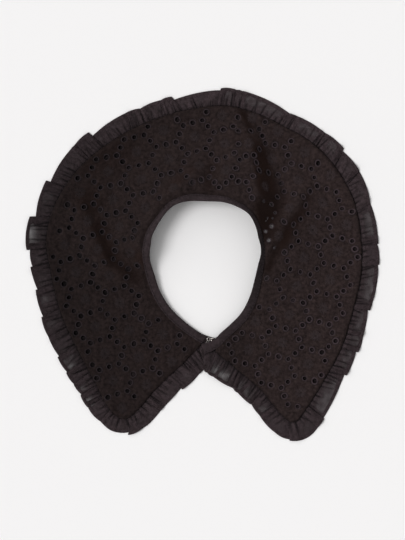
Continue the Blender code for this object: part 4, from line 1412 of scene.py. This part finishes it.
@dataclass
class Lining:
    """The voile lining: one open layer under the leaf, which shows through the eyelets."""

    leaf: CollarLeaf
    stations: int = 260
    rows: int = 30
    thickness: float = 0.2
    under_leaf: float = 1.4
    sag: float = 0.55
    sag_length: float = 38.0
    edge_height: float = 0.5
    edge_reach: tuple[float, float] = (4.0, 30.0)
    lowest: float = 0.12
    light: float = 0.03
    worn_light: float = 0.2
    worn_reach: float = 6.0
    # Painted shade on the lining seen through the eyelets, from darker at the left to lighter at the right,
    # over these x places.
    painted_light: tuple[float, float] = (0.2, 0.8)
    painted_light_from: tuple[float, float] = (-150.0, 60.0)

    def build(self, material: bpy.types.Material) -> bpy.types.Object:
        """Make the lining: the leaf's plan, lying a little above the underside of the stack.

        Its height rises from the edge's, at the seam, to just under the leaf, less a soft sag. More
        light comes through round the small eyelets, where it is worn.

        Args:
            material: the voile.

        Returns:
            The lining's object.
        """
        fine_stations, fine_rows = self.leaf.stations, self.leaf.rows
        plan = self.leaf.sheet_plan().reshape(fine_stations, fine_rows, 2)
        stations = np.linspace(0, fine_stations - 1, self.stations).astype(int)
        rows = np.linspace(0, fine_rows - 1, self.rows).astype(int)
        plan = plan[np.ix_(stations, rows)].reshape(-1, 2)
        cloth = self.leaf.cloth
        _, to_seam = cloth.across(plan)
        close = cloth.stack_top - self.under_leaf - self.sag * (1.0 + unevenness(plan, self.sag_length, 21))
        rise = ramp(to_seam, *self.edge_reach)
        height = cloth.ground(plan) + self.edge_height + (close - self.edge_height) * rise
        height = np.maximum(height + cloth.creases(plan), self.lowest)
        away, _ = nearest(plan, np.array(SMALL_EYELETS)[:, :2])
        light = self.light + (self.worn_light - self.light) * np.exp(-(away / self.worn_reach) ** 2)
        # Painted shade in the eyelets: darker at the left, with soft random patches.
        painted_light = np.interp(plan[:, 0], self.painted_light_from, self.painted_light) * (1.0 + 0.35 * unevenness(plan, 24.0, 22))
        sheet = Surface(np.column_stack([plan, height]), grid_faces(self.stations, self.rows).tolist(),
                        self.leaf.pattern.grain(plan), {"cover": cover(light), "painted_light": np.clip(painted_light, 0.1, 1.1)})
        made = sheet.piece("voile_lining", material)
        thicken(made, self.thickness)
        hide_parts("collar_lining")
        return made


@dataclass
class Ruffle:
    """The pleated voile ruffle, with its folded hem and the small gathers along the seam."""

    cloth: LaidCloth
    rows: int = 13
    thickness: float = 0.22
    root_inset: float = 2.6
    start_inset: float = 6.5
    sample: float = 0.5
    fold_round: float = 0.25
    bulge: float = 0.8
    hem_width: float = 3.0
    hem_under: float = 0.24
    hem_thickness: float = 0.8
    stitch_pitch: float = 2.4
    stitch_length: float = 1.7
    stitch_lift: float = 0.12
    stitch_radius: float = 0.17
    gather_spacing: tuple[float, float] = (2.0, 6.8)
    gather_reach: tuple[float, float] = (0.4, 1.15)
    gather_depth: tuple[float, float] = (0.4, 1.0)
    gather_lean: float = 2.4
    gather_width: float = 0.9
    gather_line: float = 0.95
    gather_height: float = 1.7
    wave_height: float = 0.7
    light: float = 0.06
    hem_light: float = 0.02
    # Lengths along the seam, and the painted light on the voile there: above 1 lighter, below 1 darker.
    tone: tuple[tuple[float, float], ...] = (
        (0.0, 1.3), (120.0, 1.25), (200.0, 0.95), (330.0, 0.85), (420.0, 1.0), (500.0, 1.35), (640.0, 1.45),
        (760.0, 1.35), (900.0, 1.35), (1000.0, 1.25), (1077.0, 1.15),
    )
    # The heights of the lowest, middle and top layer of a fold, at its root, at the seam and at the hem.
    levels: tuple[tuple[float, ...], ...] = ((0.45, 0.75, 1.05), (0.45, 1.45, 2.45), (0.36, 0.95, 1.6))
    end_lift: tuple[float, float] = (1032.0, 1058.0)
    end_lift_seam: float = 4.8
    end_lift_hem: float = 2.4
    end_turn: float = 1072.7
    end_turn_rate: float = 2.5
    hem_slope: float = 0.3

    def stretch(self, before: Pleat, pleat: Pleat) -> Array:
        """Lay the stretch between two pleats, which runs level and climbs to a fold that it lies over.

        Args:
            before: the pleat that it starts from.
            pleat: the pleat that it runs to.

        Returns:
            Rows of seam length, hem length, level, width and looseness.
        """
        start, finish = before.seam, pleat.seam
        count = max(5, int((finish - start) / self.sample))
        if before.tuck > 0.0:
            start = before.seam + 0.4
        at_seam = np.linspace(start, finish, count)
        part = (at_seam - before.seam) / (pleat.seam - before.seam)
        at_hem = before.hem + (pleat.hem - before.hem) * part
        width = before.after + (pleat.before - before.after) * part + self.bulge * np.sin(np.pi * part)
        level = np.zeros(count)
        if before.tuck < 0.0:
            reach = before.seam + abs(before.tuck)
            level += 2.0 * (1.0 - ramp(at_seam, reach, reach + 3.0))
        if pleat.tuck > 0.0:
            reach = pleat.seam - pleat.tuck
            level += 2.0 * ramp(at_seam, reach - 3.0, reach)
        loose = ramp(part, 0.0, 0.12) * ramp(part, 1.0, 0.88)
        return np.column_stack([at_seam, at_hem, np.minimum(level, 2.0), width, loose])

    def path(self) -> Array:
        """Lay the whole folded line: stretches, and at each pleat a Z with rounded folds.

        Returns:
            Rows of seam length, hem length, level, width and looseness.
        """
        rows = []
        last = RUFFLE_START
        for pleat in PLEATS + (RUFFLE_END,):
            rows.append(self.stretch(last, pleat))
            depth, turn = abs(pleat.tuck), self.fold_round
            if pleat.tuck > 0.0:
                steps = ((turn, 1.5, 0), (0.0, 1.0, 0), (-0.5 * depth, 1.0, 0.5), (-depth, 1.0, 1),
                         (-depth - turn, 0.5, 1), (-depth, 0.0, 1), (-0.4 * depth, 0.0, 1))
            elif pleat.tuck < 0.0:
                steps = ((0.5 * depth, 0.0, 0), (depth, 0.0, 0), (depth + turn, 0.5, 0),
                         (depth, 1.0, 0), (0.5 * depth, 1.0, 0.5), (0.0, 1.0, 1), (-turn, 1.5, 1))
            else:
                steps = ()
            if steps:
                move, level, share = np.array(steps).T
                width = pleat.before + (pleat.after - pleat.before) * share
                rows.append(np.column_stack([pleat.seam + move, pleat.hem + move, level, width,
                                             np.zeros(len(steps))]))
            last = pleat
        return np.vstack(rows)

    def gathers(self, at_seam: Array, share: Array) -> tuple[Array, Array]:
        """Return how deep the creases of the small gathers are, and how dark their lines, which is painted as
        shade and also lets less light through.

        A crease starts at the seam, leans a little as it runs out, and fades at its own reach. Its
        depth falls off as exp(-distance / width) and its line as exp(-(distance / line)²).

        Args:
            at_seam: lengths along the seam, one a station, as a column.
            share: how far out each point is, 0 at the seam to 1 at the hem.

        Returns:
            The depth, 0 to 1, and the darkness, 0 to 1, of each point.
        """
        draw = np.random.default_rng(31)
        place = RUFFLE_START.seam + np.cumsum(draw.uniform(*self.gather_spacing, 600))
        place = place[place < RUFFLE_END.seam]
        reach = draw.uniform(*self.gather_reach, len(place))
        depth = draw.uniform(*self.gather_depth, len(place))
        lean = draw.normal(0.0, self.gather_lean, len(place))
        valley, line = np.zeros(share.shape), np.zeros(share.shape)
        for start, far, deep, drift in zip(place, reach, depth, lean):
            near = np.abs(at_seam[:, 0] - start) < 6.0
            away = np.abs(at_seam[near] - start - drift * share[near])
            fade = deep * (1.0 - ramp(share[near], 0.5 * far, far))
            narrow = 1.0 - 0.5 * np.clip(share[near] / far, 0.0, 1.0)
            valley[near] = np.maximum(valley[near], fade * np.exp(-away / self.gather_width))
            line[near] = np.maximum(line[near], fade * np.exp(-(away / (self.gather_line * narrow)) ** 2))
        return valley, line

    def height(self, at_seam: Array, level: Array, loose: Array, share: Array, valley: Array,
               out: Array) -> Array:
        """Work out how high the ruffle's points lie.

        It is a blend of the layers' heights at root, seam and hem, plus gathers that fade outwards, a
        slow wave at the hem, and the lift of the cloth, all square to the surface under the collar.

        Args:
            at_seam: lengths along the seam, one a station, as a column.
            level: the layer of each station, 0 lowest to 2 on top.
            loose: 1 between two pleats and 0 at them.
            share: how far out each point is, 0 at the seam to 1 at the hem.
            valley: how deep in a crease it is.
            out: how far out it is in millimetres.

        Returns:
            The height of each point.
        """
        outward = np.clip(share, 0.0, 1.0)
        root, seam, hem = (np.interp(level, np.arange(3.0), table) for table in self.levels)
        body = seam + (hem - seam) * outward
        height = root + (body - root) * ramp(out, 0.2, 3.0)
        puff = self.gather_height * (1.0 + 0.4 * unevenness(at_seam, 23.0, 32)[:, None])
        puff = puff * ramp(out, 0.0, 2.6) * (1.0 - 0.85 * ramp(share, 0.25, 1.0))
        height = height + puff * loose * (1.0 - valley)
        wave = np.clip(unevenness(at_seam, 26.0, 34)[:, None], -0.3, 1.0) + 0.3
        height = height + self.wave_height * wave * loose * ramp(share, 0.2, 1.0)
        ground = self.cloth.ground(self.cloth.seam.place(at_seam[:, 0]))[:, None]
        base = ground * (at_seam < self.end_lift[0])
        height = height + base * (1.0 - (1.0 - self.hem_slope) * outward)
        end = self.end_lift_seam + (self.end_lift_hem - self.end_lift_seam) * outward
        return height + ramp(at_seam, *self.end_lift) * end

    def light_through(self, at_seam: Array, share: Array, valley: Array, line: Array,
                      pattern: Array) -> Array:
        """Work out the share of light that the voile lets through.

        It is a low share, more in each open panel, cloudy as loose weave is, less near the seam and
        least in the creases.

        Args:
            at_seam: lengths along the seam, one a station, as a column.
            share: how far out each point is, 0 at the seam to 1 at the hem.
            valley: how deep in a crease it is.
            line: how dark its crease is.
            pattern: its coordinates on the cloth.

        Returns:
            The share at each point.
        """
        uneven = 1.0 + 0.5 * unevenness(at_seam, 17.0, 36)[:, None]
        light = np.broadcast_to(self.light * uneven, share.shape)
        for panel in PANELS:
            inside = (ramp(at_seam, panel.start - 1.5, panel.start + 2.5)
                      * ramp(at_seam, panel.finish + 1.5, panel.finish - 2.5))
            opened = 0.4 + 0.6 * ramp(share, panel.inner - 0.15, panel.inner + 0.3)
            light = np.maximum(light, panel.light * inside * opened)
        cloudy = 1.0 + 0.2 * unevenness(pattern, 7.0, 37)
        from_seam = 0.45 + 0.55 * ramp(share, 0.05, 0.6)
        return light * cloudy * from_seam * (1.0 - 0.95 * line) * (1.0 - 0.4 * valley)

    def surface(self, hem_only: bool = False, lower: float = 0.0) -> tuple[Array, Array, dict[str, Array]]:
        """Work out the ruffle as a grid from seam to hem.

        The plan point at row t goes from the seam, a little inside it, out to the hem's width, and
        along from the seam's place to the hem's.

        Args:
            hem_only: whether the grid is the hem's narrow second layer instead.
            lower: how far the grid is moved down.

        Returns:
            The points as an array of stations by rows, the pattern coordinates and the mesh's values.
        """
        at_seam, at_hem, level, width, loose = (column[:, None] for column in self.path().T)
        if hem_only:
            share = 1.0 - (1.0 - np.linspace(0.0, 1.0, 4)[None]) * self.hem_width / width
        else:
            first = -(self.root_inset + self.start_inset * ramp(at_seam, 12.0, 6.0)) / width
            share = first + (1.0 - first) * np.linspace(0.0, 1.0, self.rows)[None] ** 0.9
        out = share * width
        outward = np.clip(share, 0.0, 1.0)
        along = at_seam + (at_hem - at_seam) * outward
        turned = self.end_turn_rate * np.maximum(at_seam - self.end_turn, 0.0) * (1.0 - outward)
        plan = self.cloth.seam.place(along, out + turned)
        valley, line = self.gathers(at_seam, share)
        height = self.height(at_seam, level, loose, share, valley, out) - lower
        points = np.concatenate([plan, height[..., None]], axis=-1)
        walked = np.cumsum(np.hypot(*np.diff(points[:, 0], axis=0, prepend=points[:1, 0]).T[:2]))
        pattern = np.stack([np.broadcast_to(walked[:, None], out.shape), out], axis=-1)
        light = np.clip(self.light_through(at_seam, share, valley, line, pattern), 0.005, 0.9)
        light = np.where(width - out < self.hem_width, self.hem_light, light)
        # Painted light and shade: darker along the gather creases and at the root in the leaf edge's shade,
        # times the painted light along the seam.
        tone = np.interp(at_seam, *np.array(self.tone).T)
        painted_light = (1.0 - 0.85 * line) * (0.5 + 0.5 * ramp(out, -0.5, 1.0)) * tone
        return points, pattern, {"cover": cover(light).ravel(), "painted_light": painted_light.ravel()}

    def strip(self, hem_only: bool = False, lower: float = 0.0) -> Surface:
        """Turn the grid into a surface.

        Args:
            hem_only: whether it is the hem's narrow second layer instead.
            lower: how far it is moved down.

        Returns:
            The surface.
        """
        points, pattern, values = self.surface(hem_only, lower)
        faces = grid_faces(*points.shape[:2]).tolist()
        return Surface(points.reshape(-1, 3), faces, pattern.reshape(-1, 2), values)

    def build(self, material: bpy.types.Material, with_pieces: list[bpy.types.Object]) -> bpy.types.Object:
        """Make the ruffle.

        Args:
            material: the voile.
            with_pieces: its hem and stitches; not used.

        Returns:
            The ruffle's object.
        """
        made = self.strip().piece("voile_ruffle", material)
        thicken(made, self.thickness, 0.0)
        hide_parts("ruffle")
        return made

    def build_hem(self, material: bpy.types.Material) -> bpy.types.Object:
        """Make the turned-up hem: a narrow second layer close under the ruffle's edge.

        Args:
            material: the voile.

        Returns:
            The hem's object.
        """
        made = self.strip(hem_only=True, lower=self.hem_under).piece("ruffle_hem", material)
        thicken(made, self.thickness * self.hem_thickness, 0.0)
        return made

    def build_hem_stitches(self, material: bpy.types.Material) -> bpy.types.Object:
        """Make the row of machine stitches along the top of the hem.

        Args:
            material: the thread.

        Returns:
            The stitches as one object.
        """
        line = self.surface(hem_only=True)[0][:, 0]
        length = np.concatenate([[0.0], np.cumsum(np.linalg.norm(np.diff(line, axis=0), axis=1))])
        marks = np.arange(1.0, length[-1] - 3.0, self.stitch_pitch)
        lift = [0.0, 0.0, self.stitch_lift]
        start, finish = (np.stack([np.interp(at, length, column) for column in line.T], axis=1) + lift
                         for at in (marks, marks + self.stitch_length))
        up = np.tile([0.0, 0.0, 1.0], (len(marks), 1))
        made = stitches(start, finish, up, self.stitch_radius).piece("hem_stitches", material)
        return made


@dataclass
class NeckBinding:
    """The bias binding: a folded strip round the neck edge, stitched down near its outer fold."""

    cloth: LaidCloth
    step: float = 0.95
    top: float = 3.3
    stitch_share: float = 0.84
    stitch_pitch: float = 2.7
    stitch_length: float = 1.9
    stitch_radius: float = 0.24
    stitch_height: float = 0.985
    drag: float = 0.26
    drag_pitch: float = 3.4
    drag_wander: float = 1.8
    drag_lean: float = 0.8
    soft: float = 0.12
    light: float = 0.004
    reach: tuple[float, float] = (8.5, 2.5)
    flat_end: float = 0.42
    # Where a line of shade is painted along the ditch by the stitches, and its width, as shares of the band's
    # width.
    painted_ditch_shade: tuple[float, float] = (0.84, 0.035)
    # Lengths along the neck, and the painted light on the band there: below 1 painted shade, darkest on the
    # right.
    tone: tuple[tuple[float, float], ...] = (
        (0.0, 1.05), (120.0, 1.0), (230.0, 1.05), (258.0, 0.74), (276.0, 0.58), (312.0, 0.58), (340.0, 0.85),
        (402.0, 1.1),
    )
    # The band's outline from its outer fold over the top to the neck edge and back under: share of its
    # width, and share of its height.
    section: tuple[tuple[float, float], ...] = (
        (1.00, 0.72), (1.01, 0.90), (0.985, 1.02), (0.93, 1.08), (0.88, 1.04), (0.84, 0.97), (0.79, 1.02),
        (0.66, 1.07), (0.50, 1.09), (0.34, 1.08), (0.18, 1.03), (0.07, 0.93), (0.01, 0.75), (-0.01, 0.52),
        (0.02, 0.28), (0.10, 0.10), (0.30, 0.02), (0.60, 0.00), (0.90, 0.04), (0.99, 0.30),
    )

    def line(self, u: Array) -> tuple[Array, Array, Array]:
        """Read how the binding lies; its last stretch is lifted with the lapped end.

        Args:
            u: lengths along the neck edge.

        Returns:
            The binding's width, its rise and the height of its underside.
        """
        width, rise = self.cloth.neck.read(self.cloth.neck.points[:, 2:4], u).T
        _, closest = nearest(self.cloth.neck.place(u, width), self.cloth.inner.points[:, :2])
        base = self.cloth.ground(self.cloth.inner.points[closest, :2])
        start, finish = self.cloth.lap_binding
        end = ramp(u, self.cloth.neck.total - start, self.cloth.neck.total - finish)
        return width, rise, base * (1.0 - end) + (self.cloth.lap_lift + self.cloth.lap_clear) * end

    def at(self, u: Array, share: float, height: float) -> Array:
        """Find points of the band, with the small drag lines that its bias cut gives it.

        Args:
            u: lengths along the neck edge.
            share: the share of the width, 0 at the neck edge to 1 at the outer fold.
            height: the share of the height.

        Returns:
            The points.
        """
        width, rise, base = self.line(u)
        length, inner, outer = np.array(BINDING_EDGES).T
        inner, outer = np.interp(u, length, inner), np.interp(u, length, outer)
        plan = self.cloth.neck.place(u, (width - outer) * share - inner * (1.0 - share))
        shown = max(0.0, min(1.0, (height - 0.5) * 2.5))
        place = np.column_stack([u + self.drag_lean * share * width, np.full(len(u), 6.0 * share)])
        wander = self.drag_wander * unevenness(place, 19.0, 41)
        drag = self.drag * np.sin(2.0 * np.pi * place[:, 0] / self.drag_pitch + wander)
        soft = self.soft * unevenness(place, 13.0, 42)
        flat = self.flat_end + (1.0 - self.flat_end) * ramp(u, -1.5, 0.5)
        lift = base + rise * (1.0 - share) + (self.top * height + (drag + soft) * shown) * flat
        return np.column_stack([plan, lift])

    def build(self, material: bpy.types.Material, with_pieces: list[bpy.types.Object]) -> bpy.types.Object:
        """Make the binding: its section carried along the neck edge, with both ends closed.

        Its pattern coordinates are turned by 45 degrees, as the strip is cut on the bias.

        Args:
            material: the voile.
            with_pieces: its stitches; not used.

        Returns:
            The binding's object.
        """
        stations = int(self.cloth.neck.total / self.step)
        u = np.linspace(-self.reach[0], self.cloth.neck.total - self.reach[1], stations)
        rings = np.stack([self.at(u, share, height) for share, height in self.section], axis=1)
        sides = len(self.section)
        width = self.cloth.neck.read(self.cloth.neck.points[:, 2:3], u)
        shares = np.array(self.section)[None, :, 0]
        out = shares * width
        bias = np.stack([u[:, None] + out, u[:, None] - out], axis=-1) / math.sqrt(2.0)
        faces = grid_faces(stations, sides, closed=True)[:, ::-1].tolist()
        faces.append(list(range(sides))[::-1])
        faces.append([(stations - 1) * sides + k for k in range(sides)])
        # Painted shade: the band darkened along the ditch, times the painted light along the neck.
        painted_ditch_dark = np.exp(-((shares - self.painted_ditch_shade[0]) / self.painted_ditch_shade[1]) ** 2)
        painted_light = np.interp(u, *np.array(self.tone).T)[:, None] * (1.0 - 0.8 * painted_ditch_dark)
        strip = Surface(rings.reshape(-1, 3), faces, bias.reshape(-1, 2),
                        {"cover": np.full(stations * sides, cover(self.light)), "painted_light": painted_light.ravel()})
        made = strip.piece("bias_binding", material)
        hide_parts("neck_binding")
        return made

    def build_stitches(self, material: bpy.types.Material) -> bpy.types.Object:
        """Make the row of machine stitches in the ditch near the binding's outer fold.

        Args:
            material: the thread.

        Returns:
            The stitches as one object.
        """
        u = np.arange(2.0, self.cloth.neck.total - 3.0, self.stitch_pitch)
        start = self.at(u, self.stitch_share, self.stitch_height)
        finish = self.at(u + self.stitch_length, self.stitch_share, self.stitch_height)
        up = np.tile([0.0, 0.0, 1.0], (len(u), 1))
        made = stitches(start, finish, up, self.stitch_radius).piece("binding_stitches", material)
        return made


@dataclass
class HookAndEye:
    """The wire hook on the right end, hooked into the wire eye on the left end."""

    wire: float = 0.31
    shank: float = 0.21
    ring_middle: tuple[float, float, float] = (5.6, -74.1, 3.4)
    ring_radius: float = 1.6
    shanks: tuple[tuple[tuple[float, float, float], ...], ...] = (
        ((4.4, -75.2, 3.3), (3.5, -77.0, 3.5), (2.5, -78.8, 3.4), (1.9, -80.1, 2.4)),
        ((5.7, -75.7, 3.3), (4.9, -77.3, 3.5), (3.9, -79.1, 3.4), (3.3, -80.5, 2.4)),
    )
    bill: tuple[tuple[float, float, float], ...] = (
        (13.6, -73.6, 6.3), (12.2, -73.3, 6.0), (10.6, -73.1, 5.4), (9.0, -73.2, 5.0), (7.6, -73.5, 4.6),
        (6.4, -73.9, 3.4), (6.2, -74.3, 3.1), (6.4, -74.7, 3.5), (7.6, -75.0, 4.6), (9.0, -75.2, 5.0),
        (10.4, -75.3, 5.4), (11.8, -75.7, 5.9),
    )

    def build_eye(self, material: bpy.types.Material) -> bpy.types.Object:
        """Make the eye: a ring of wire, and its two shanks that run back to be sewn on the binding.

        Args:
            material: the plated wire.

        Returns:
            The eye's object.
        """
        turn = np.linspace(0.0, 2.0 * np.pi, 25)
        ring = self.ring_radius * np.column_stack([np.cos(turn), np.sin(turn), np.zeros(len(turn))])
        parts = [tube(np.array(self.ring_middle) + ring, self.wire, 8)]
        parts += [tube(smooth_curve(np.array(line), 4, 3), self.shank, 8) for line in self.shanks]
        made = joined(parts).piece("eye_wire", material)
        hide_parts("eye")
        return made

    def build_hook(self, material: bpy.types.Material) -> bpy.types.Object:
        """Make the hook: a doubled wire from under the right end, its bend dipped into the eye.

        Args:
            material: the plated wire.

        Returns:
            The hook's object.
        """
        made = tube(smooth_curve(np.array(self.bill), 8, 3), self.wire, 8).piece("hook_wire", material)
        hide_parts("hook")
        return made


# ---------------------------------------------------------------------------------------------
# Studio
# ---------------------------------------------------------------------------------------------

class Light(NamedTuple):
    """A far soft light: its direction and height in degrees, how wide it is, and its strength."""

    name: str
    direction: float
    height: float
    width: float
    strength: float


@dataclass
class Studio:
    """White paper, a soft window on the left, a pale room, and a camera straight above."""

    camera_height: float = 2.6
    view_height: float = 0.540
    middle: tuple[float, float] = (-0.5, -4.9)
    floor_size: float = 9.0
    floor_drop: float = 0.1
    room: str = "#ffffff"
    room_strength: float = 0.455
    contrast: float = 1.18

    lights: tuple[Light, ...] = (
        Light("window_light", 176.0, 57.0, 26.0, 1.44),
        Light("window_glow", 180.0, 50.0, 110.0, 0.87),
    )

    def build_floor(self) -> None:
        """Make the paper, just under the collar."""
        half, drop = self.floor_size / 2.0, self.floor_drop * MM
        mesh = bpy.data.meshes.new("floor")
        corners = [(x, y, -drop) for x, y in ((-half, -half), (half, -half), (half, half), (-half, half))]
        mesh.from_pydata(corners, [], [(0, 1, 2, 3)])
        mesh.materials.append(PaperFloor().material())
        floor = bpy.data.objects.new("floor", mesh)
        bpy.context.scene.collection.objects.link(floor)

    def build_lights(self) -> None:
        """Make the window's two lights and the pale room, and set a little contrast."""
        for light in self.lights:
            lamp = bpy.data.lights.new(light.name, "SUN")
            lamp.energy = light.strength
            lamp.angle = math.radians(light.width)
            holder = bpy.data.objects.new(light.name, lamp)
            holder.location = (-1.5, 0.0, 2.5)
            tilt, heading = math.radians(90.0 - light.height), math.radians(light.direction + 90.0)
            holder.rotation_euler = (tilt, 0.0, heading)
            bpy.context.scene.collection.objects.link(holder)
        world = bpy.data.worlds.new("pale_room")
        world.use_nodes = True
        background = world.node_tree.nodes["Background"]
        background.inputs["Color"].default_value = linear(self.room)
        background.inputs["Strength"].default_value = self.room_strength
        bpy.context.scene.world = world
        bpy.context.scene.view_settings.view_transform = "Standard"
        bpy.context.scene.view_settings.gamma = 1.0 / self.contrast

    def build_camera(self) -> None:
        """Make the camera: straight above, its frame as tall as the view at the surface."""
        lens = bpy.data.cameras.new("camera")
        lens.sensor_fit = "VERTICAL"
        lens.lens = lens.sensor_height * self.camera_height / self.view_height
        camera = bpy.data.objects.new("camera", lens)
        x, y = ((place - shift) * MM for place, shift in zip(self.middle, BOX_MIDDLE))
        camera.location = (x, y, self.camera_height)
        bpy.context.scene.collection.objects.link(camera)
        bpy.context.scene.camera = camera


def main() -> None:
    """Build the studio and each sub-assembly in order, and report each piece."""
    logging.basicConfig(level=logging.INFO, format="%(message)s")
    studio = Studio()
    studio.build_floor()
    studio.build_lights()
    studio.build_camera()
    cloth = LaidCloth()
    pattern = EyeletPattern(cloth)
    cotton, voile, thread = EyeletCotton().material(), SheerVoile().material(), SatinThread().material()
    floss = SatinThread("cotton_floss_worked_flat", ("#362e2f", "#433a3c"), roughness=0.85).material()
    wire = NickelWire().material()
    leaf = CollarLeaf(cloth, pattern)
    log.info("%d eyelets, %d daisies", len(leaf.eyelets), len(leaf.hearts))
    ruffle, binding, fastening = Ruffle(cloth), NeckBinding(cloth), HookAndEye()
    worked = [leaf.build_rims(thread), leaf.build_daisies(floss)]
    hemmed = [ruffle.build_hem(voile), ruffle.build_hem_stitches(thread)]
    bound = [binding.build_stitches(thread)]
    for piece in (
        Lining(leaf).build(voile), leaf.build_sheet(cotton), *worked,
        ruffle.build(voile, hemmed), *hemmed, binding.build(voile, bound), *bound,
        fastening.build_eye(wire), fastening.build_hook(wire),
    ):
        log.info("%s: %d points, %d faces", piece.name, len(piece.data.vertices), len(piece.data.polygons))


if __name__ == "__main__":
    main()
